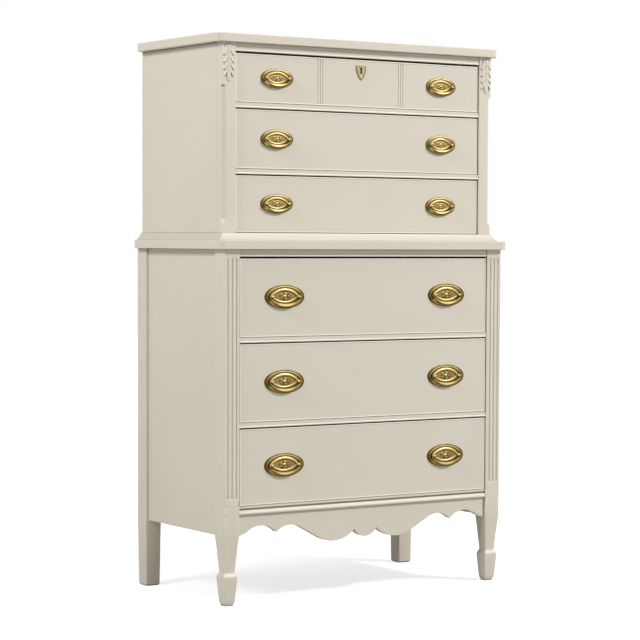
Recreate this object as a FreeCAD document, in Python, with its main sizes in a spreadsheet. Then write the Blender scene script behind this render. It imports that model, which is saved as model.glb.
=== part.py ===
import FreeCAD, Part
import math
import os

import Sketcher
from FreeCAD import Placement, Rotation, Vector

# A tall dresser: a three-drawer upper chest on a wider three-drawer lower chest.
# Millimetres. X runs left to right, the drawers open towards -Y, Z is up from the floor.
# The origin is on the floor, midway across the width and the depth of the waist board.

# Driving sizes

SIZES = {
    # The stack of rails and drawer openings, from the floor up
    "base_height": 222.5,
    "base_rail_height": 22.5,
    "opening_6": 192,
    "opening_5": 196,
    "opening_4": 198,
    "lower_rail_height": 13,
    "lower_top_rail_height": 18,
    "waist_thickness": 22,
    "upper_bottom_rail_height": 18.5,
    "opening_3": 143.5,
    "opening_2": 149,
    "opening_1": 124,
    "upper_rail_height": 13,
    "upper_top_rail_height": 21,
    "top_thickness": 21,
    # Widths and depths of the two chests, and how far their boards stand out
    "upper_width": 813,
    "upper_depth": 413,
    "top_side_overhang": 20.5,
    "top_front_overhang": 10,
    "lower_width": 840,
    "lower_depth": 445,
    "waist_side_overhang": 16,
    "waist_front_overhang": 12,
    "board_corner_radius": 20,
    # Sides and backs
    "side_thickness": 18,
    "side_recess": 7,
    "side_bottom_height": 172,
    "back_thickness": 8,
    "back_rebate": 8,
    # Upper corner posts, with a stopped chamfer down the outer corner
    "post_width": 36.5,
    "post_depth": 28,
    "chamfer_leg": 9,
    "chamfer_foot_rise": 42,
    "chamfer_head_drop": 103,
    "chamfer_runout": 10,
    # Carved leaf on each post
    "leaf_width": 35,
    "leaf_height": 90,
    "leaf_corner_offset": 16,
    "leaf_top_drop": 7,
    "leaf_thickness": 4,
    "leaf_rib_radius": 3,
    "leaf_rib_rise": 1.5,
    # Rails between the drawers
    "rail_depth": 60,
    "rail_setback": 1.5,
    "rail_bead": 5,
    "quirk": 1.2,
    "base_rail_setback": 3,
    "base_bead": 9,
    "base_bead_reach": 3,
    # Moulding that seats the upper chest on the waist board
    "moulding_reach": 15,
    "moulding_lip": 1.2,
    "moulding_top_edge": 2,
    # Legs
    "leg_width": 44,
    "leg_depth": 46,
    "taper_height": 175,
    "taper_hollow": 0.3,
    "ankle_height": 83,
    "ankle_width": 28,
    "spade_shoulder_height": 73,
    "spade_height": 65,
    "spade_width": 38,
    "foot_edge_height": 10,
    "foot_width": 29,
    "sole_width": 22,
    "flute_radius": 3,
    "flute_depth": 2,
    "flute_spacing": 12,
    "flute_foot_height": 264,
    "flute_head_drop": 23,
    "scribe_height": 222,
    "scribe_width": 2,
    "scribe_depth": 1,
    # Shaped apron
    "apron_thickness": 20,
    "apron_setback": 6.5,
    "apron_drop": 81.5,
    # Drawers
    "front_thickness": 20,
    "upper_front_setback": 5.5,
    "lower_front_setback": 4,
    "front_side_gap": 2,
    "front_top_gap": 3,
    "highest_front_top_gap": 4.6,
    "front_bottom_gap": 0.8,
    "front_bead": 3,
    "front_bead_rise": 1.2,
    "runner_clearance": 0.3,
    "drawer_side_thickness": 12,
    "drawer_side_drop": 10,
    "drawer_back_thickness": 10,
    "drawer_back_clearance": 12,
    "drawer_bottom_thickness": 6,
    "drawer_bottom_rise": 10,
    "drawer_groove_depth": 5,
    "runner_reach": 28,
    "guide_height": 18,
    "kicker_height": 14,
    # Reeded strips that divide the top drawer front into three
    "reed_offset": 122,
    "reed_spacing": 7,
    "reed_groove_radius": 1.2,
    # Oval pulls: two sizes
    "upper_pull_inset": 121,
    "upper_plate_width": 94,
    "upper_plate_height": 48,
    "upper_stud_offset": 32,
    "upper_bail_drop": 21.5,
    "upper_bail_swell": 9,
    "lower_pull_inset": 130,
    "lower_plate_width": 115,
    "lower_plate_height": 58,
    "lower_stud_offset": 38,
    "lower_bail_drop": 26.5,
    "lower_bail_swell": 11,
    "plate_thickness": 1.2,
    "plate_rim_width": 3,
    "plate_rim_rise": 2.4,
    "medallion_width": 46,
    "medallion_height": 24,
    "medallion_rise": 2.4,
    "boss_radius": 6,
    "boss_rise": 4,
    "pivot_standoff": 7,
    "stud_head_radius": 4.2,
    "stud_neck_radius": 2.5,
    "stud_stem_radius": 2,
    "stem_tail": 5,
    "nut_radius": 4.4,
    "nut_thickness": 3,
    "pin_radius": 1.5,
    "pin_fit": 0.05,
    "bail_thickness": 5,
    "bail_end_width": 4.4,
    "bail_arm_drop": 4.5,
    "bail_side_clearance": 0.3,
    # Keyhole plate and lock of the top drawer
    "escutcheon_width": 31,
    "escutcheon_height": 37,
    "escutcheon_thickness": 1.6,
    "escutcheon_top_drop": 14.4,
    "escutcheon_pin_radius": 1.4,
    "keyhole_drop": 8,
    "keyhole_radius": 3.4,
    "keyhole_slot_width": 4,
    "keyhole_slot_length": 13,
    "lock_width": 62,
    "lock_height": 36,
    "lock_thickness": 10,
    "lock_fit": 0.2,
    "bolt_width": 20,
    "bolt_height": 16,
    "bolt_thickness": 5,
    "bolt_throw": 8,
    "bolt_clearance": 1,
}

doc = FreeCAD.newDocument("TallDresser")
sheet = doc.addObject("Spreadsheet::Sheet", "Sizes")
for row, (alias, number) in enumerate(SIZES.items(), start=1):
    sheet.set(f"A{row}", alias)
    sheet.set(f"B{row}", str(number))
    sheet.setAlias(f"B{row}", alias)
doc.recompute()


# Lengths that know both their value and the sheet expression behind it

def value_of(term):
    return term.value if isinstance(term, Size) else term


def text_of(term):
    return term.text if isinstance(term, Size) else str(term)


class Size:
    """A length in millimetres, with the expression of sheet cells that gives it."""

    def __init__(self, value, text):
        self.value = value
        self.text = text

    def __add__(self, other):
        return Size(self.value + value_of(other), f"({self.text} + {text_of(other)})")

    def __radd__(self, other):
        return Size(value_of(other) + self.value, f"({text_of(other)} + {self.text})")

    def __sub__(self, other):
        return Size(self.value - value_of(other), f"({self.text} - {text_of(other)})")

    def __rsub__(self, other):
        return Size(value_of(other) - self.value, f"({text_of(other)} - {self.text})")

    def __mul__(self, share):
        return Size(self.value * share, f"({self.text} * {share})")

    def __truediv__(self, share):
        return Size(self.value / share, f"({self.text} / {share})")

    def __neg__(self):
        return Size(-self.value, f"(0 - {self.text})")


class Names:
    """Every alias of the sheet as an attribute."""

    def __init__(self, sizes):
        for alias, number in sizes.items():
            setattr(self, alias, Size(float(number), f"Sizes.{alias}"))


dim = Names(SIZES)


# Small builders: each makes one document object bound to the sheet

TURNS = {
    "x": Rotation(Vector(0, 0, 1), Vector(1, 0, 0)),
    "y": Rotation(Vector(0, 0, 1), Vector(0, 1, 0)),
    "z": Rotation(),
}


def bind(thing, **lengths):
    """Tie properties of an object to sheet expressions."""
    for name, length in lengths.items():
        if isinstance(length, Size):
            thing.setExpression(name, length.text)
        else:
            setattr(thing, name, length)


def place(thing, x=0, y=0, z=0, turn=None):
    """Tie an object's position to the sheet, after an optional fixed turn."""
    thing.Placement = Placement(Vector(0, 0, 0), turn or Rotation())
    for axis, length in zip("xyz", (x, y, z)):
        if isinstance(length, Size):
            thing.setExpression(f"Placement.Base.{axis}", length.text)
    return thing


def box(name, x, y, z):
    """A block given by its two ends on each axis."""
    block = doc.addObject("Part::Box", name)
    bind(block, Length=x[1] - x[0], Width=y[1] - y[0], Height=z[1] - z[0])
    return place(block, x[0], y[0], z[0])


def rod(name, axis, radius, length, x=0, y=0, z=0):
    """A cylinder that starts at a point and runs along one axis."""
    cylinder = doc.addObject("Part::Cylinder", name)
    bind(cylinder, Radius=radius, Height=length)
    return place(cylinder, x, y, z, TURNS[axis])


def ball(name, radius, x=0, y=0, z=0):
    sphere = doc.addObject("Part::Sphere", name)
    bind(sphere, Radius=radius)
    return place(sphere, x, y, z)


def oval(name, width, height, thickness, y=0):
    """An upright elliptical disc whose back is at y and whose face is towards -Y."""
    ring = doc.addObject("Part::Ellipse", name + "_ring")
    bind(ring, MajorRadius=width / 2, MinorRadius=height / 2)
    ring.Placement = Placement(Vector(0, 0, 0), Rotation(Vector(1, 0, 0), 90))
    disc = doc.addObject("Part::Extrusion", name)
    disc.Base = ring
    disc.DirMode = "Custom"
    disc.Dir = Vector(0, -1, 0)
    disc.Solid = True
    bind(disc, LengthFwd=thickness)
    return place(disc, 0, y, 0)


def join(name, *parts):
    """One solid from parts that meet or overlap."""
    union = doc.addObject("Part::MultiFuse", name)
    union.Shapes = list(parts)
    union.Refine = True
    return union


def cut(name, base, *tools):
    """The base with every tool taken away."""
    taken = tools[0] if len(tools) == 1 else group(name + "_tools", *tools)
    result = doc.addObject("Part::Cut", name)
    result.Base = base
    result.Tool = taken
    return result


def group(name, *parts):
    """Separate solids under one name."""
    bundle = doc.addObject("Part::Compound", name)
    bundle.Links = list(parts)
    return bundle


def mirrored(name, source):
    """The same piece for the right-hand side."""
    twin = doc.addObject("Part::Mirroring", name)
    twin.Source = source
    twin.Normal = Vector(1, 0, 0)
    return twin


def moved(name, source, x=0, y=0, z=0):
    """A copy of a piece at another place."""
    return place(group(name, source), x, y, z)


def pin_point(sketch, index, end, point):
    """Fix one sketch point at two sheet lengths from the sketch's origin."""
    axes = (("DistanceX", -2), ("DistanceY", -1))
    for (kind, axis), length in zip(axes, point):
        if isinstance(length, Size):
            number = sketch.addConstraint(Sketcher.Constraint(kind, -1, 1, index, end, length.value))
            sketch.setExpression(f"Constraints[{number}]", length.text)
        else:
            sketch.addConstraint(Sketcher.Constraint("PointOnObject", index, end, axis))


def flat(point):
    return Vector(value_of(point[0]), value_of(point[1]), 0)


def outline(body, name, plane, start, *steps):
    """A closed outline. A step is its end point, or a point on the arc and its end point."""
    sketch = body.newObject("Sketcher::SketchObject", name)
    base = next(face for face in body.Origin.OriginFeatures if face.Role == plane)
    sketch.AttachmentSupport = (base, [""])
    sketch.MapMode = "FlatFace"
    edges = []
    corner = start
    for step in steps:
        a, b = flat(corner), flat(step[-1])
        if len(step) == 1:
            index = sketch.addGeometry(Part.LineSegment(a, b), False)
        else:
            index = sketch.addGeometry(Part.Arc(a, flat(step[0]), b), False)
            through = sketch.addGeometry(Part.Point(flat(step[0])), True)
            pin_point(sketch, through, 1, step[0])
            sketch.addConstraint(Sketcher.Constraint("PointOnObject", through, 1, index))
        forward = (sketch.getPoint(index, 1) - a).Length < (sketch.getPoint(index, 2) - a).Length
        edges.append((index, 1, 2) if forward else (index, 2, 1))
        pin_point(sketch, index, edges[-1][1], corner)
        corner = step[-1]
    for here, after in zip(edges, edges[1:] + edges[:1]):
        sketch.addConstraint(Sketcher.Constraint("Coincident", here[0], here[2], after[0], after[1]))
    return sketch


def pad(body, sketch, thickness, backwards=False):
    """Give an outline its thickness, along the plane's normal or against it."""
    slab = body.newObject("PartDesign::Pad", sketch.Name + "_pad")
    slab.Profile = sketch
    bind(slab, Length=thickness)
    slab.Reversed = backwards
    return slab


def plate(name, plane, thickness, start, *steps, backwards=False):
    """A body cut from a board of one thickness to an outline."""
    body = doc.addObject("PartDesign::Body", name)
    pad(body, outline(body, name + "_outline", plane, start, *steps), thickness, backwards)
    return body


NODES = {}


def node(name, piece):
    """Name a finished piece for its file."""
    piece.Label = name
    NODES[name] = piece
    return piece


# Places worked out from the sizes

back = (dim.lower_depth + dim.waist_front_overhang) / 2
waist_front = -back
lower_front = back - dim.lower_depth
upper_front = back - dim.upper_depth
top_front = upper_front - dim.top_front_overhang
upper_half = dim.upper_width / 2
lower_half = dim.lower_width / 2
upper_opening_half = upper_half - dim.post_width
lower_opening_half = lower_half - dim.leg_width
upper_side_inside = upper_half - dim.side_thickness
lower_side_outside = lower_half - dim.side_recess
lower_side_inside = lower_side_outside - dim.side_thickness

opening_6_bottom = dim.base_height + dim.base_rail_height
opening_6_top = opening_6_bottom + dim.opening_6
opening_5_bottom = opening_6_top + dim.lower_rail_height
opening_5_top = opening_5_bottom + dim.opening_5
opening_4_bottom = opening_5_top + dim.lower_rail_height
opening_4_top = opening_4_bottom + dim.opening_4
lower_top = opening_4_top + dim.lower_top_rail_height
upper_bottom = lower_top + dim.waist_thickness
opening_3_bottom = upper_bottom + dim.upper_bottom_rail_height
opening_3_top = opening_3_bottom + dim.opening_3
opening_2_bottom = opening_3_top + dim.upper_rail_height
opening_2_top = opening_2_bottom + dim.opening_2
opening_1_bottom = opening_2_top + dim.upper_rail_height
opening_1_top = opening_1_bottom + dim.opening_1
upper_top = opening_1_top + dim.upper_top_rail_height
total_height = upper_top + dim.top_thickness

OPENINGS = {
    1: ("upper", opening_1_bottom, opening_1_top),
    2: ("upper", opening_2_bottom, opening_2_top),
    3: ("upper", opening_3_bottom, opening_3_top),
    4: ("lower", opening_4_bottom, opening_4_top),
    5: ("lower", opening_5_bottom, opening_5_top),
    6: ("lower", opening_6_bottom, opening_6_top),
}


# Top board and waist board: flat boards with rounded corners

UPRIGHT_SHARE = 0.99


def board(name, half, front, bottom, thickness):
    body = doc.addObject("PartDesign::Body", name)
    corners = ((-half, front), (half, front), (half, back), (-half, back))
    steps = [(corner,) for corner in corners[1:] + corners[:1]]
    slab = pad(body, outline(body, name + "_outline", "XY_Plane", corners[0], *steps), thickness)
    doc.recompute()
    upright = [
        f"Edge{number}"
        for number, edge in enumerate(slab.Shape.Edges, start=1)
        if abs(edge.tangentAt(edge.FirstParameter).z) > UPRIGHT_SHARE
    ]
    rounding = body.newObject("PartDesign::Fillet", name + "_corners")
    rounding.Base = (slab, upright)
    bind(rounding, Radius=dim.board_corner_radius)
    return place(body, 0, 0, bottom)


top_half = upper_half + dim.top_side_overhang
waist_half = lower_half + dim.waist_side_overhang
node("top_board", board("top_slab", top_half, top_front, upper_top, dim.top_thickness))
node("waist_board", board("waist_slab", waist_half, waist_front, lower_top, dim.waist_thickness))


# Upper chest: sides, corner posts, back

post_back = upper_front + dim.post_depth
back_inside = back - dim.back_thickness
upper_back_half = upper_side_inside + dim.back_rebate

upper_side = cut(
    "upper_side",
    box("upper_side_board", (-upper_half, -upper_side_inside), (post_back, back), (upper_bottom, upper_top)),
    box("upper_side_rebate", (-upper_back_half, -upper_side_inside), (back_inside, back), (upper_bottom, upper_top)),
)
node("upper_side_left", upper_side)
node("upper_side_right", mirrored("upper_side_twin", upper_side))
node("upper_back", box("upper_back_board", (-upper_back_half, upper_back_half), (back_inside, back),
                       (upper_bottom, upper_top)))

# The chamfer is a bevel that runs out to the square corner at both ends.
# Its cutter is a wedge laid along the corner, long on the outside and shorter at the bevel.
# Seen from the corner, the bevel lies half a diagonal of the chamfer's square inside it.
bevel_depth_share = math.sin(math.radians(45))
bevel_depth = dim.chamfer_leg * bevel_depth_share
bevel_bottom = upper_bottom + dim.chamfer_foot_rise
bevel_length = upper_top - dim.chamfer_head_drop - bevel_bottom
bevel = doc.addObject("Part::Wedge", "post_bevel")
bind(
    bevel,
    Xmin=-bevel_depth, Xmax=bevel_depth,
    X2min=-bevel_depth, X2max=bevel_depth,
    Ymin=-bevel_depth, Ymax=0,
    Zmin=-dim.chamfer_runout, Zmax=bevel_length + dim.chamfer_runout,
    Z2min=0, Z2max=bevel_length,
)
place(bevel, -upper_half + dim.chamfer_leg / 2, upper_front + dim.chamfer_leg / 2, bevel_bottom,
      Rotation(Vector(0, 0, 1), -45))
upper_post = cut(
    "upper_post",
    box("upper_post_blank", (-upper_half, -upper_opening_half), (upper_front, post_back), (upper_bottom, upper_top)),
    bevel,
)
node("upper_post_left", upper_post)
node("upper_post_right", mirrored("upper_post_twin", upper_post))


# Carved leaves: lobes either side of a rib, narrowing to a rounded tip.
# Shares of the half width and of the height, down from the top: a lobe's tip, then the notch below it.

LEAF_SHARES = (
    ((1.0, 0.14), (0.55, 0.26)),
    ((1.0, 0.37), (0.50, 0.48)),
    ((0.9, 0.58), (0.42, 0.68)),
    ((0.7, 0.78), (0.30, 0.86)),
)
LEAF_TOP_SHARE = 0.55
LEAF_TIP_SHARES = (0.24, 0.96)


def leaf_point(across_share, down_share):
    return (dim.leaf_width / 2 * across_share, -(dim.leaf_height * down_share))


def other_side(point):
    return (-point[0], point[1])


leaf_right = [(leaf_point(*tip), leaf_point(*notch)) for tip, notch in LEAF_SHARES]
leaf_end = (0, -dim.leaf_height)
leaf_top_corner = (dim.leaf_width / 2 * LEAF_TOP_SHARE, 0)
right_steps = leaf_right + [(leaf_point(*LEAF_TIP_SHARES), leaf_end)]
stations = [leaf_top_corner] + [step[1] for step in leaf_right]
left_steps = [
    (other_side(step[0]), other_side(station))
    for step, station in zip(reversed(right_steps), reversed(stations))
]
leaf_body = plate("leaf", "XZ_Plane", dim.leaf_thickness, leaf_top_corner,
                  *right_steps, *left_steps, (leaf_top_corner,))
leaf_rib = rod("leaf_rib", "z", dim.leaf_rib_radius, dim.leaf_height,
               0, -dim.leaf_thickness + dim.leaf_rib_radius - dim.leaf_rib_rise, -dim.leaf_height)
rib_room = box("leaf_rib_room", (-dim.leaf_rib_radius, dim.leaf_rib_radius),
               (-dim.leaf_thickness - dim.leaf_rib_rise, 0), (-dim.leaf_height, 0))
rib = doc.addObject("Part::Common", "leaf_rib_front")
rib.Base = leaf_rib
rib.Tool = rib_room
leaf = place(join("leaf_carving", leaf_body, rib),
             -upper_half + dim.leaf_corner_offset, upper_front, upper_top - dim.leaf_top_drop)
node("leaf_carvings", group("leaf_pair", leaf, mirrored("leaf_twin", leaf)))


# Rails: boards with a bead along the lower front edge, set off by a narrow quirk

def rail(name, bottom, height, front, half, bead, reach):
    radius = bead / 2
    centre = radius - reach
    body = plate(
        name, "YZ_Plane", half * 2, (dim.rail_depth, 0),
        ((centre, 0),),
        ((centre - radius, radius), (centre, bead)),
        ((centre, bead + dim.quirk),),
        ((0, bead + dim.quirk),),
        ((0, height),),
        ((dim.rail_depth, height),),
        ((dim.rail_depth, 0),),
    )
    return place(body, -half, front, bottom)


upper_rail_front = upper_front + dim.rail_setback
lower_rail_front = lower_front + dim.rail_setback
upper_rail_back = upper_rail_front + dim.rail_depth
lower_rail_back = lower_rail_front + dim.rail_depth


def plain_rail(name, bottom, height, front, half):
    return rail(name, bottom, height, front, half, dim.rail_bead, 0)


front_board_back = upper_front + dim.upper_front_setback + dim.front_thickness
bolt_middle = front_board_back - dim.lock_thickness / 2
mortise_half = dim.bolt_width / 2 + dim.bolt_clearance
mortise_side = dim.bolt_thickness / 2 + dim.bolt_clearance
bolt_mortise = box("bolt_mortise", (-mortise_half, mortise_half),
                   (bolt_middle - mortise_side, bolt_middle + mortise_side),
                   (opening_1_top, opening_1_top + dim.bolt_throw))
upper_top_rail = cut(
    "upper_top_rail",
    plain_rail("upper_top_rail_blank", opening_1_top, dim.upper_top_rail_height,
               upper_rail_front, upper_opening_half),
    bolt_mortise,
)
upper_bottom_rail = box("upper_bottom_rail", (-upper_opening_half, upper_opening_half),
                        (upper_rail_front, upper_rail_back), (upper_bottom, opening_3_bottom))
node("upper_rails", group(
    "upper_rail_set",
    upper_top_rail,
    plain_rail("upper_rail_1", opening_2_top, dim.upper_rail_height, upper_rail_front, upper_opening_half),
    plain_rail("upper_rail_2", opening_3_top, dim.upper_rail_height, upper_rail_front, upper_opening_half),
    upper_bottom_rail,
))

base_rail = rail("base_rail", dim.base_height, dim.base_rail_height, lower_front + dim.base_rail_setback,
                 lower_opening_half, dim.base_bead, dim.base_bead_reach)
node("lower_rails", group(
    "lower_rail_set",
    plain_rail("lower_top_rail", opening_4_top, dim.lower_top_rail_height, lower_rail_front, lower_opening_half),
    plain_rail("lower_rail_1", opening_5_top, dim.lower_rail_height, lower_rail_front, lower_opening_half),
    plain_rail("lower_rail_2", opening_6_top, dim.lower_rail_height, lower_rail_front, lower_opening_half),
    base_rail,
))


# Waist moulding: a cove round the foot of the upper chest, mitred at the front corners.
# Halfway up, the cove has come in by this share of its reach.

COVE_SHARE = 0.6
MITRE_BLOCK_SHARE = 4


def cove_body(name, plane, length):
    reach = dim.moulding_reach
    height = dim.upper_bottom_rail_height
    shoulder = dim.moulding_top_edge
    rise = (height - dim.moulding_lip) / 2 + dim.moulding_lip
    halfway = reach - (reach - shoulder) * COVE_SHARE
    return plate(name, plane, length, (0, 0), ((-reach, 0),), ((-reach, dim.moulding_lip),),
                 ((-halfway, rise), (-shoulder, height)), ((0, height),), ((0, 0),))


def mitre_block(name, degrees):
    """A block turned so that one face lies on the mitre through the left front corner."""
    side = dim.moulding_reach * MITRE_BLOCK_SHARE
    block = doc.addObject("Part::Box", name)
    bind(block, Length=side, Width=side, Height=dim.upper_bottom_rail_height)
    return place(block, -upper_half, upper_front, upper_bottom, Rotation(Vector(0, 0, 1), degrees))


front_cove_half = upper_half + dim.moulding_reach
front_cove_blank = place(cove_body("front_cove_blank", "YZ_Plane", front_cove_half * 2),
                         -front_cove_half, upper_front, upper_bottom)
mitre_left = mitre_block("mitre_left", 135)
mitre_right = mirrored("mitre_right", mitre_left)
front_cove = cut("front_cove", front_cove_blank, mitre_left, mitre_right)
side_cove_blank = place(cove_body("side_cove_blank", "XZ_Plane", dim.upper_depth + dim.moulding_reach),
                        -upper_half, back, upper_bottom)
side_cove = cut("side_cove", side_cove_blank, mitre_block("mitre_front", -135))
node("waist_moulding", group("waist_moulding_set", front_cove, side_cove, mirrored("side_cove_twin", side_cove)))


# Legs: a square post above, then a slightly hollow taper to an ankle and a spade foot

leg_left_centre = -lower_half + dim.leg_width / 2
front_leg_centre = lower_front + dim.leg_depth / 2


def leg_profile(name, plane, width, thickness):
    """The leg's outline seen from one side, padded right through."""
    full = width / 2
    ankle = dim.ankle_width / 2
    hollow = ((full + ankle) / 2 - dim.taper_hollow, (dim.taper_height + dim.ankle_height) / 2)
    right = [
        ((dim.sole_width / 2, 0),),
        ((dim.foot_width / 2, dim.foot_edge_height),),
        ((dim.spade_width / 2, dim.spade_height),),
        ((dim.spade_width / 2, dim.spade_shoulder_height),),
        ((ankle, dim.ankle_height),),
        (hollow, (full, dim.taper_height)),
        ((full, lower_top),),
    ]
    ends = [other_side(step[-1]) for step in right]
    down = [(ends[-1],)]
    for step, end in zip(reversed(right[1:]), reversed(ends[:-1])):
        down.append((other_side(step[0]), end) if len(step) == 2 else (end,))
    return plate(name, plane, thickness, ends[0], *right, *down)


leg_from_front = place(leg_profile("leg_from_front", "XZ_Plane", dim.leg_width, dim.leg_depth),
                       0, dim.leg_depth / 2)
leg_from_side = place(leg_profile("leg_from_side", "YZ_Plane", dim.leg_depth, dim.leg_width),
                      -dim.leg_width / 2)
leg_blank = doc.addObject("Part::Common", "leg_blank")
leg_blank.Base = leg_from_front
leg_blank.Tool = leg_from_side

flute_axis = -dim.leg_depth / 2 - dim.flute_radius + dim.flute_depth
flute_bottom = dim.flute_foot_height + dim.flute_radius
flute_top = lower_top - dim.flute_head_drop - dim.flute_radius
leg_cuts = []
for number, step in enumerate((-1, 0, 1), start=1):
    across = dim.flute_spacing * step
    name = f"flute_{number}"
    leg_cuts.append(join(
        name,
        rod(name + "_run", "z", dim.flute_radius, flute_top - flute_bottom, across, flute_axis, flute_bottom),
        ball(name + "_foot", dim.flute_radius, across, flute_axis, flute_bottom),
        ball(name + "_head", dim.flute_radius, across, flute_axis, flute_top),
    ))
leg_cuts.append(box("scribe_line", (-dim.leg_width / 2, dim.leg_width / 2),
                    (-dim.leg_depth / 2, -dim.leg_depth / 2 + dim.scribe_depth),
                    (dim.scribe_height, dim.scribe_height + dim.scribe_width)))
front_leg = place(cut("front_leg", leg_blank, *leg_cuts), leg_left_centre, front_leg_centre)
node("front_leg_left", front_leg)
node("front_leg_right", mirrored("front_leg_twin", front_leg))

rear_leg_front = back - dim.leg_depth
lower_back_half = lower_opening_half + dim.back_rebate
rear_leg = cut(
    "rear_leg",
    box("rear_leg_blank", (-lower_half, -lower_opening_half), (rear_leg_front, back), (0, lower_top)),
    box("rear_leg_rebate", (-lower_back_half, -lower_opening_half), (back_inside, back),
        (dim.side_bottom_height, lower_top)),
)
node("rear_leg_left", rear_leg)
node("rear_leg_right", mirrored("rear_leg_twin", rear_leg))


# Lower chest: sunk sides between the legs, back, apron

front_leg_back = lower_front + dim.leg_depth
lower_side = box("lower_side", (-lower_side_outside, -lower_side_inside), (front_leg_back, rear_leg_front),
                 (dim.side_bottom_height, lower_top))
node("lower_side_left", lower_side)
node("lower_side_right", mirrored("lower_side_twin", lower_side))
node("lower_back", box("lower_back_board", (-lower_back_half, lower_back_half), (back_inside, back),
                       (dim.side_bottom_height, lower_top)))

# The apron's lower edge, as shares of the half opening and of the drop, from the middle to the post.
# Each entry is a point on an arc and its end, or only the end of a straight stretch.

APRON_SHARES = (
    ((0.253, 1.000), (0.372, 0.860)),
    ((0.505, 0.524),),
    ((0.582, 0.396), (0.705, 0.586)),
    ((0.824, 0.354), (0.936, 0.536)),
    ((0.990, 0.634),),
    ((1.000, 0.634),),
)
CENTRE_LOBE_SHARE = 0.933
CENTRE_NOTCH_SHARES = (0.09, 0.69)


def apron_point(across_share, down_share):
    return (lower_opening_half * across_share, dim.base_height - dim.apron_drop * down_share)


notch = apron_point(*CENTRE_NOTCH_SHARES)
lobe_bottom = (0, dim.base_height - dim.apron_drop * CENTRE_LOBE_SHARE)
apron_right = [tuple(apron_point(*shares) for shares in step) for step in APRON_SHARES]
apron_stations = [notch] + [step[-1] for step in apron_right]
apron_steps = [(lobe_bottom, notch)] + apron_right + [((lower_opening_half, dim.base_height),)]
apron_steps.append(((-lower_opening_half, dim.base_height),))
apron_steps.append((other_side(apron_stations[-1]),))
for step, end in zip(reversed(apron_right), reversed(apron_stations[:-1])):
    apron_steps.append((other_side(step[0]), other_side(end)) if len(step) == 2 else (other_side(end),))
apron = plate("apron_board", "XZ_Plane", dim.apron_thickness, other_side(notch), *apron_steps, backwards=True)
node("apron", place(apron, 0, lower_front + dim.apron_setback))


# Drawer runners: an L of runner and guide on each side, and kickers over the top drawers

def runner(name, opening_half, inside, front, guide_back, opening_bottom, thickness):
    under = box(name + "_runner", (-opening_half, -opening_half + dim.runner_reach), (front, back_inside),
                (opening_bottom - thickness, opening_bottom))
    guide = box(name + "_guide", (-inside, -opening_half), (front, guide_back),
                (opening_bottom - thickness, opening_bottom + dim.guide_height))
    return join(name, under, guide)


def kicker(name, opening_half, outer, front, opening_top):
    return box(name, (-outer, -opening_half + dim.runner_reach), (front, back_inside),
               (opening_top, opening_top + dim.kicker_height))


def both_hands(left):
    return [left, mirrored(left.Name + "_twin", left)]


upper_runner_places = {
    1: dim.upper_rail_height,
    2: dim.upper_rail_height,
    3: dim.upper_bottom_rail_height,
}
upper_slides = []
for number, thickness in upper_runner_places.items():
    upper_slides += both_hands(runner(f"runner_{number}", upper_opening_half, upper_side_inside,
                                      upper_rail_back, back_inside, OPENINGS[number][1], thickness))
upper_slides += both_hands(kicker("kicker_1", upper_opening_half, upper_side_inside,
                                  upper_rail_back, opening_1_top))
node("upper_runners", group("upper_runner_set", *upper_slides))

base_rail_back = lower_front + dim.base_rail_setback + dim.rail_depth
lower_runner_places = {
    4: (lower_rail_back, dim.lower_rail_height),
    5: (lower_rail_back, dim.lower_rail_height),
    6: (base_rail_back, dim.base_rail_height),
}
lower_slides = []
for number, (front, thickness) in lower_runner_places.items():
    lower_slides += both_hands(runner(f"runner_{number}", lower_opening_half, lower_side_inside,
                                      front, rear_leg_front, OPENINGS[number][1], thickness))
lower_slides += both_hands(kicker("kicker_4", lower_opening_half, lower_opening_half,
                                  lower_rail_back, opening_4_top))
node("lower_runners", group("lower_runner_set", *lower_slides))


# Oval pulls, made once in each size about the middle of the plate, with their backs at y = 0

class Pull:
    """The named sizes of one pull."""

    def __init__(self, kind, opening_half):
        self.kind = kind
        self.offset = opening_half - getattr(dim, kind + "_pull_inset")
        self.width = getattr(dim, kind + "_plate_width")
        self.height = getattr(dim, kind + "_plate_height")
        self.stud = getattr(dim, kind + "_stud_offset")
        self.drop = getattr(dim, kind + "_bail_drop")
        self.swell = getattr(dim, kind + "_bail_swell")


pulls = {"upper": Pull("upper", upper_opening_half), "lower": Pull("lower", lower_opening_half)}
stem_bore = dim.stud_stem_radius + dim.pin_fit


def pull_plate(pull):
    """A thin oval with a raised rim, a raised oval medallion and a round boss."""
    name = pull.kind + "_plate"
    rim = cut(
        name + "_rim",
        oval(name + "_rim_outer", pull.width, pull.height, dim.plate_rim_rise),
        oval(name + "_rim_inner", pull.width - dim.plate_rim_width * 2,
             pull.height - dim.plate_rim_width * 2, dim.plate_rim_rise),
    )
    solid = join(
        name + "_solid",
        oval(name + "_sheet", pull.width, pull.height, dim.plate_thickness),
        rim,
        oval(name + "_medallion", dim.medallion_width, dim.medallion_height, dim.medallion_rise),
        rod(name + "_boss", "y", dim.boss_radius, dim.boss_rise, 0, -dim.boss_rise),
    )
    holes = [
        rod(f"{name}_hole_{hand}", "y", stem_bore, dim.plate_thickness, pull.stud * side, -dim.plate_thickness)
        for hand, side in (("left", -1), ("right", 1))
    ]
    return cut(name, solid, *holes)


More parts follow.
